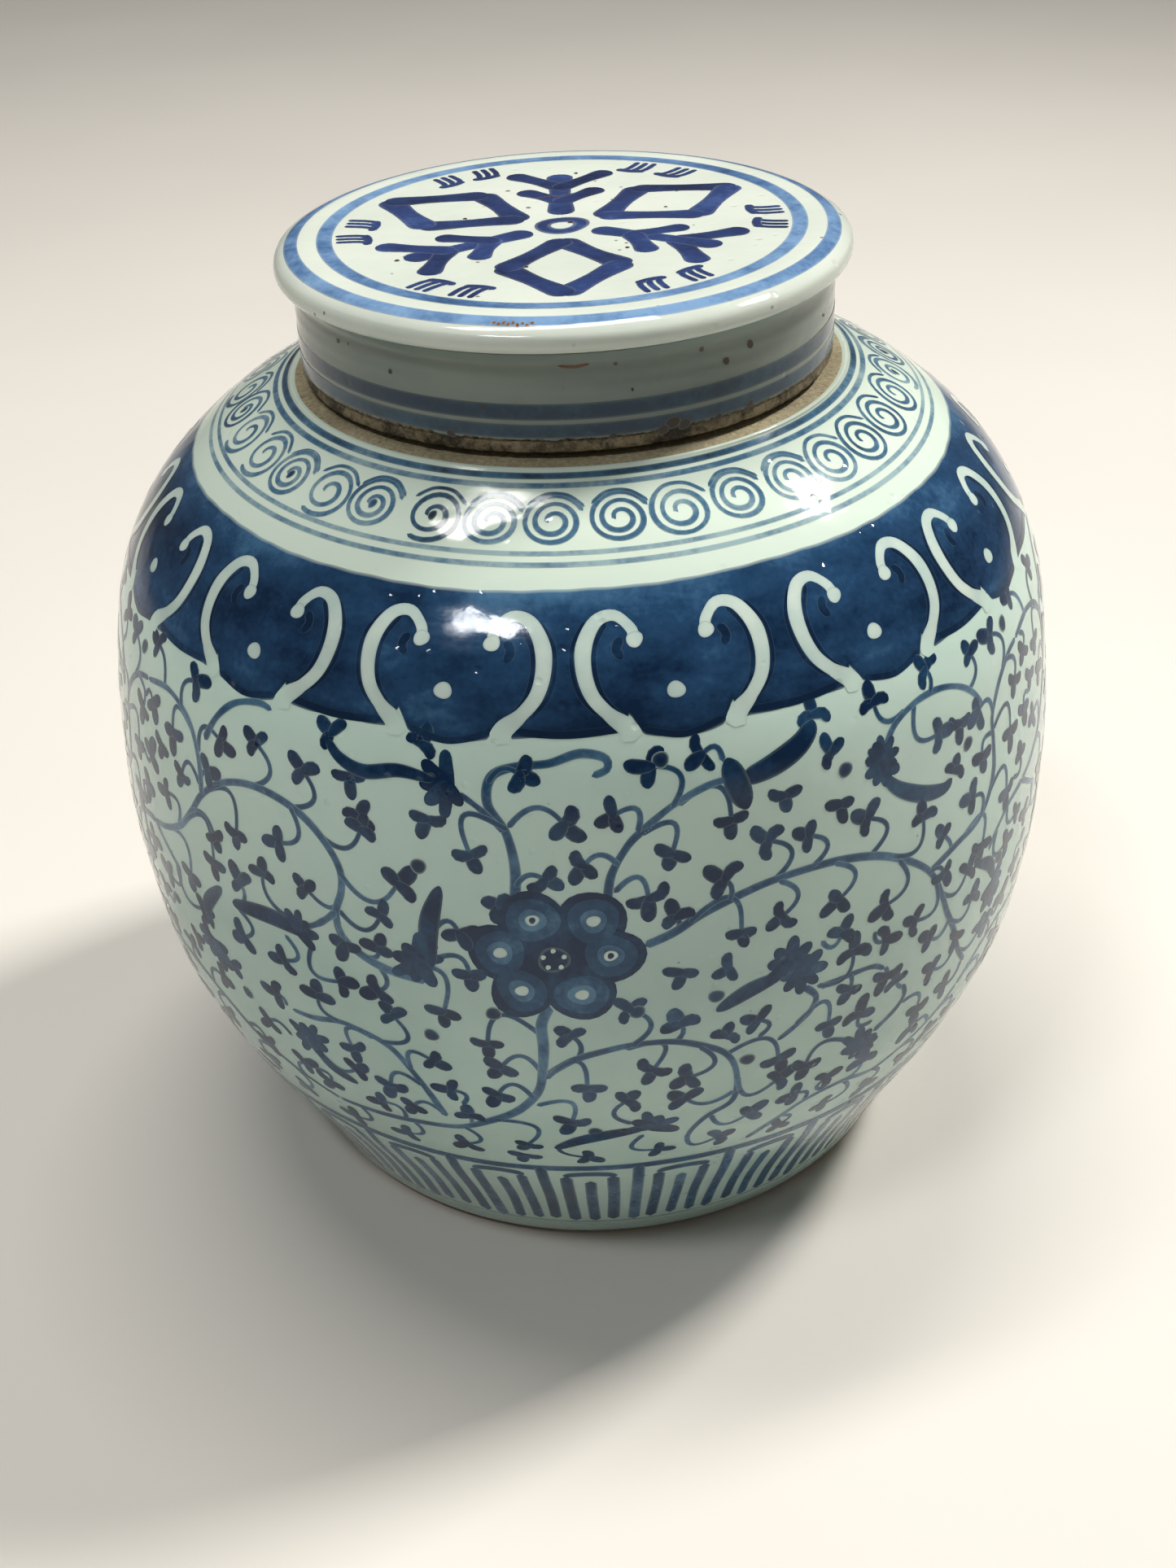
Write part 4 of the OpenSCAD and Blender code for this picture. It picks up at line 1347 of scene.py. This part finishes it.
def camera():
    data = bpy.data.cameras.new("camera")
    data.lens = LENS
    data.sensor_width = SENSOR
    data.clip_start = 0.01
    obj = bpy.data.objects.new("camera", data)
    pitch = Matrix.Rotation(math.radians(90 - CAMERA_PITCH), 4, "X")
    roll = Matrix.Rotation(math.radians(CAMERA_ROLL), 4, "Z")
    obj.matrix_world = Matrix.Translation((0, -CAMERA_AWAY, CAMERA_UP)) @ pitch @ roll
    bpy.context.scene.collection.objects.link(obj)
    bpy.context.scene.camera = obj


def area_light(name, place, size, power, colour, spread):
    """A rectangular lamp that faces LAMP_TARGET, with its long side level."""
    data = bpy.data.lights.new(name, "AREA")
    data.spread = math.radians(spread)
    data.shape = "RECTANGLE"
    data.size, data.size_y = size
    data.energy = power
    data.color = colour
    obj = bpy.data.objects.new(name, data)
    way = np.asarray(place, float) - np.asarray(LAMP_TARGET, float)
    back = way / np.linalg.norm(way)
    side = np.cross((0, 0, 1), back)
    side = side / np.linalg.norm(side)
    up = np.cross(back, side)
    turn = Matrix((tuple(side), tuple(up), tuple(back))).transposed().to_4x4()
    obj.matrix_world = Matrix.Translation(place) @ turn
    bpy.context.scene.collection.objects.link(obj)


def floor():
    n = Nodes("floor")
    cloth = n.mix(n.ramp(n.noise(3, 3), 0.3, 0.7), (0.73, 0.70, 0.655), (0.69, 0.66, 0.615))
    n.link(cloth, n.shader.inputs["Base Color"])
    n.shader.inputs["Roughness"].default_value = 0.7
    corners = [(x * FLOOR_HALF, y * FLOOR_HALF, 0) for x, y in ((-1, -1), (1, -1), (1, 1), (-1, 1))]
    obj = mesh_object("floor", corners, [(0, 1, 2, 3)])
    obj.data.materials.append(n.material)


def studio():
    """Three lamps, and a dim world that shows as a paler backdrop."""
    world = bpy.data.worlds.new("studio")
    world.use_nodes = True
    tree = world.node_tree
    backdrop = tree.nodes["Background"]
    backdrop.inputs["Color"].default_value = (0.66, 0.65, 0.62, 1)
    ray = tree.nodes.new("ShaderNodeLightPath")
    glow = tree.nodes.new("ShaderNodeMapRange")
    glow.inputs["To Min"].default_value = AMBIENT
    glow.inputs["To Max"].default_value = BACKDROP
    tree.links.new(ray.outputs["Is Camera Ray"], glow.inputs["Value"])
    tree.links.new(glow.outputs["Result"], backdrop.inputs["Strength"])
    bpy.context.scene.world = world
    for lamp in LAMPS:
        area_light(*lamp)
    bpy.context.scene.view_settings.view_transform = "Standard"


camera()
studio()
floor()
build_jar()
paint_jar()
build_lid()
paint_lid()
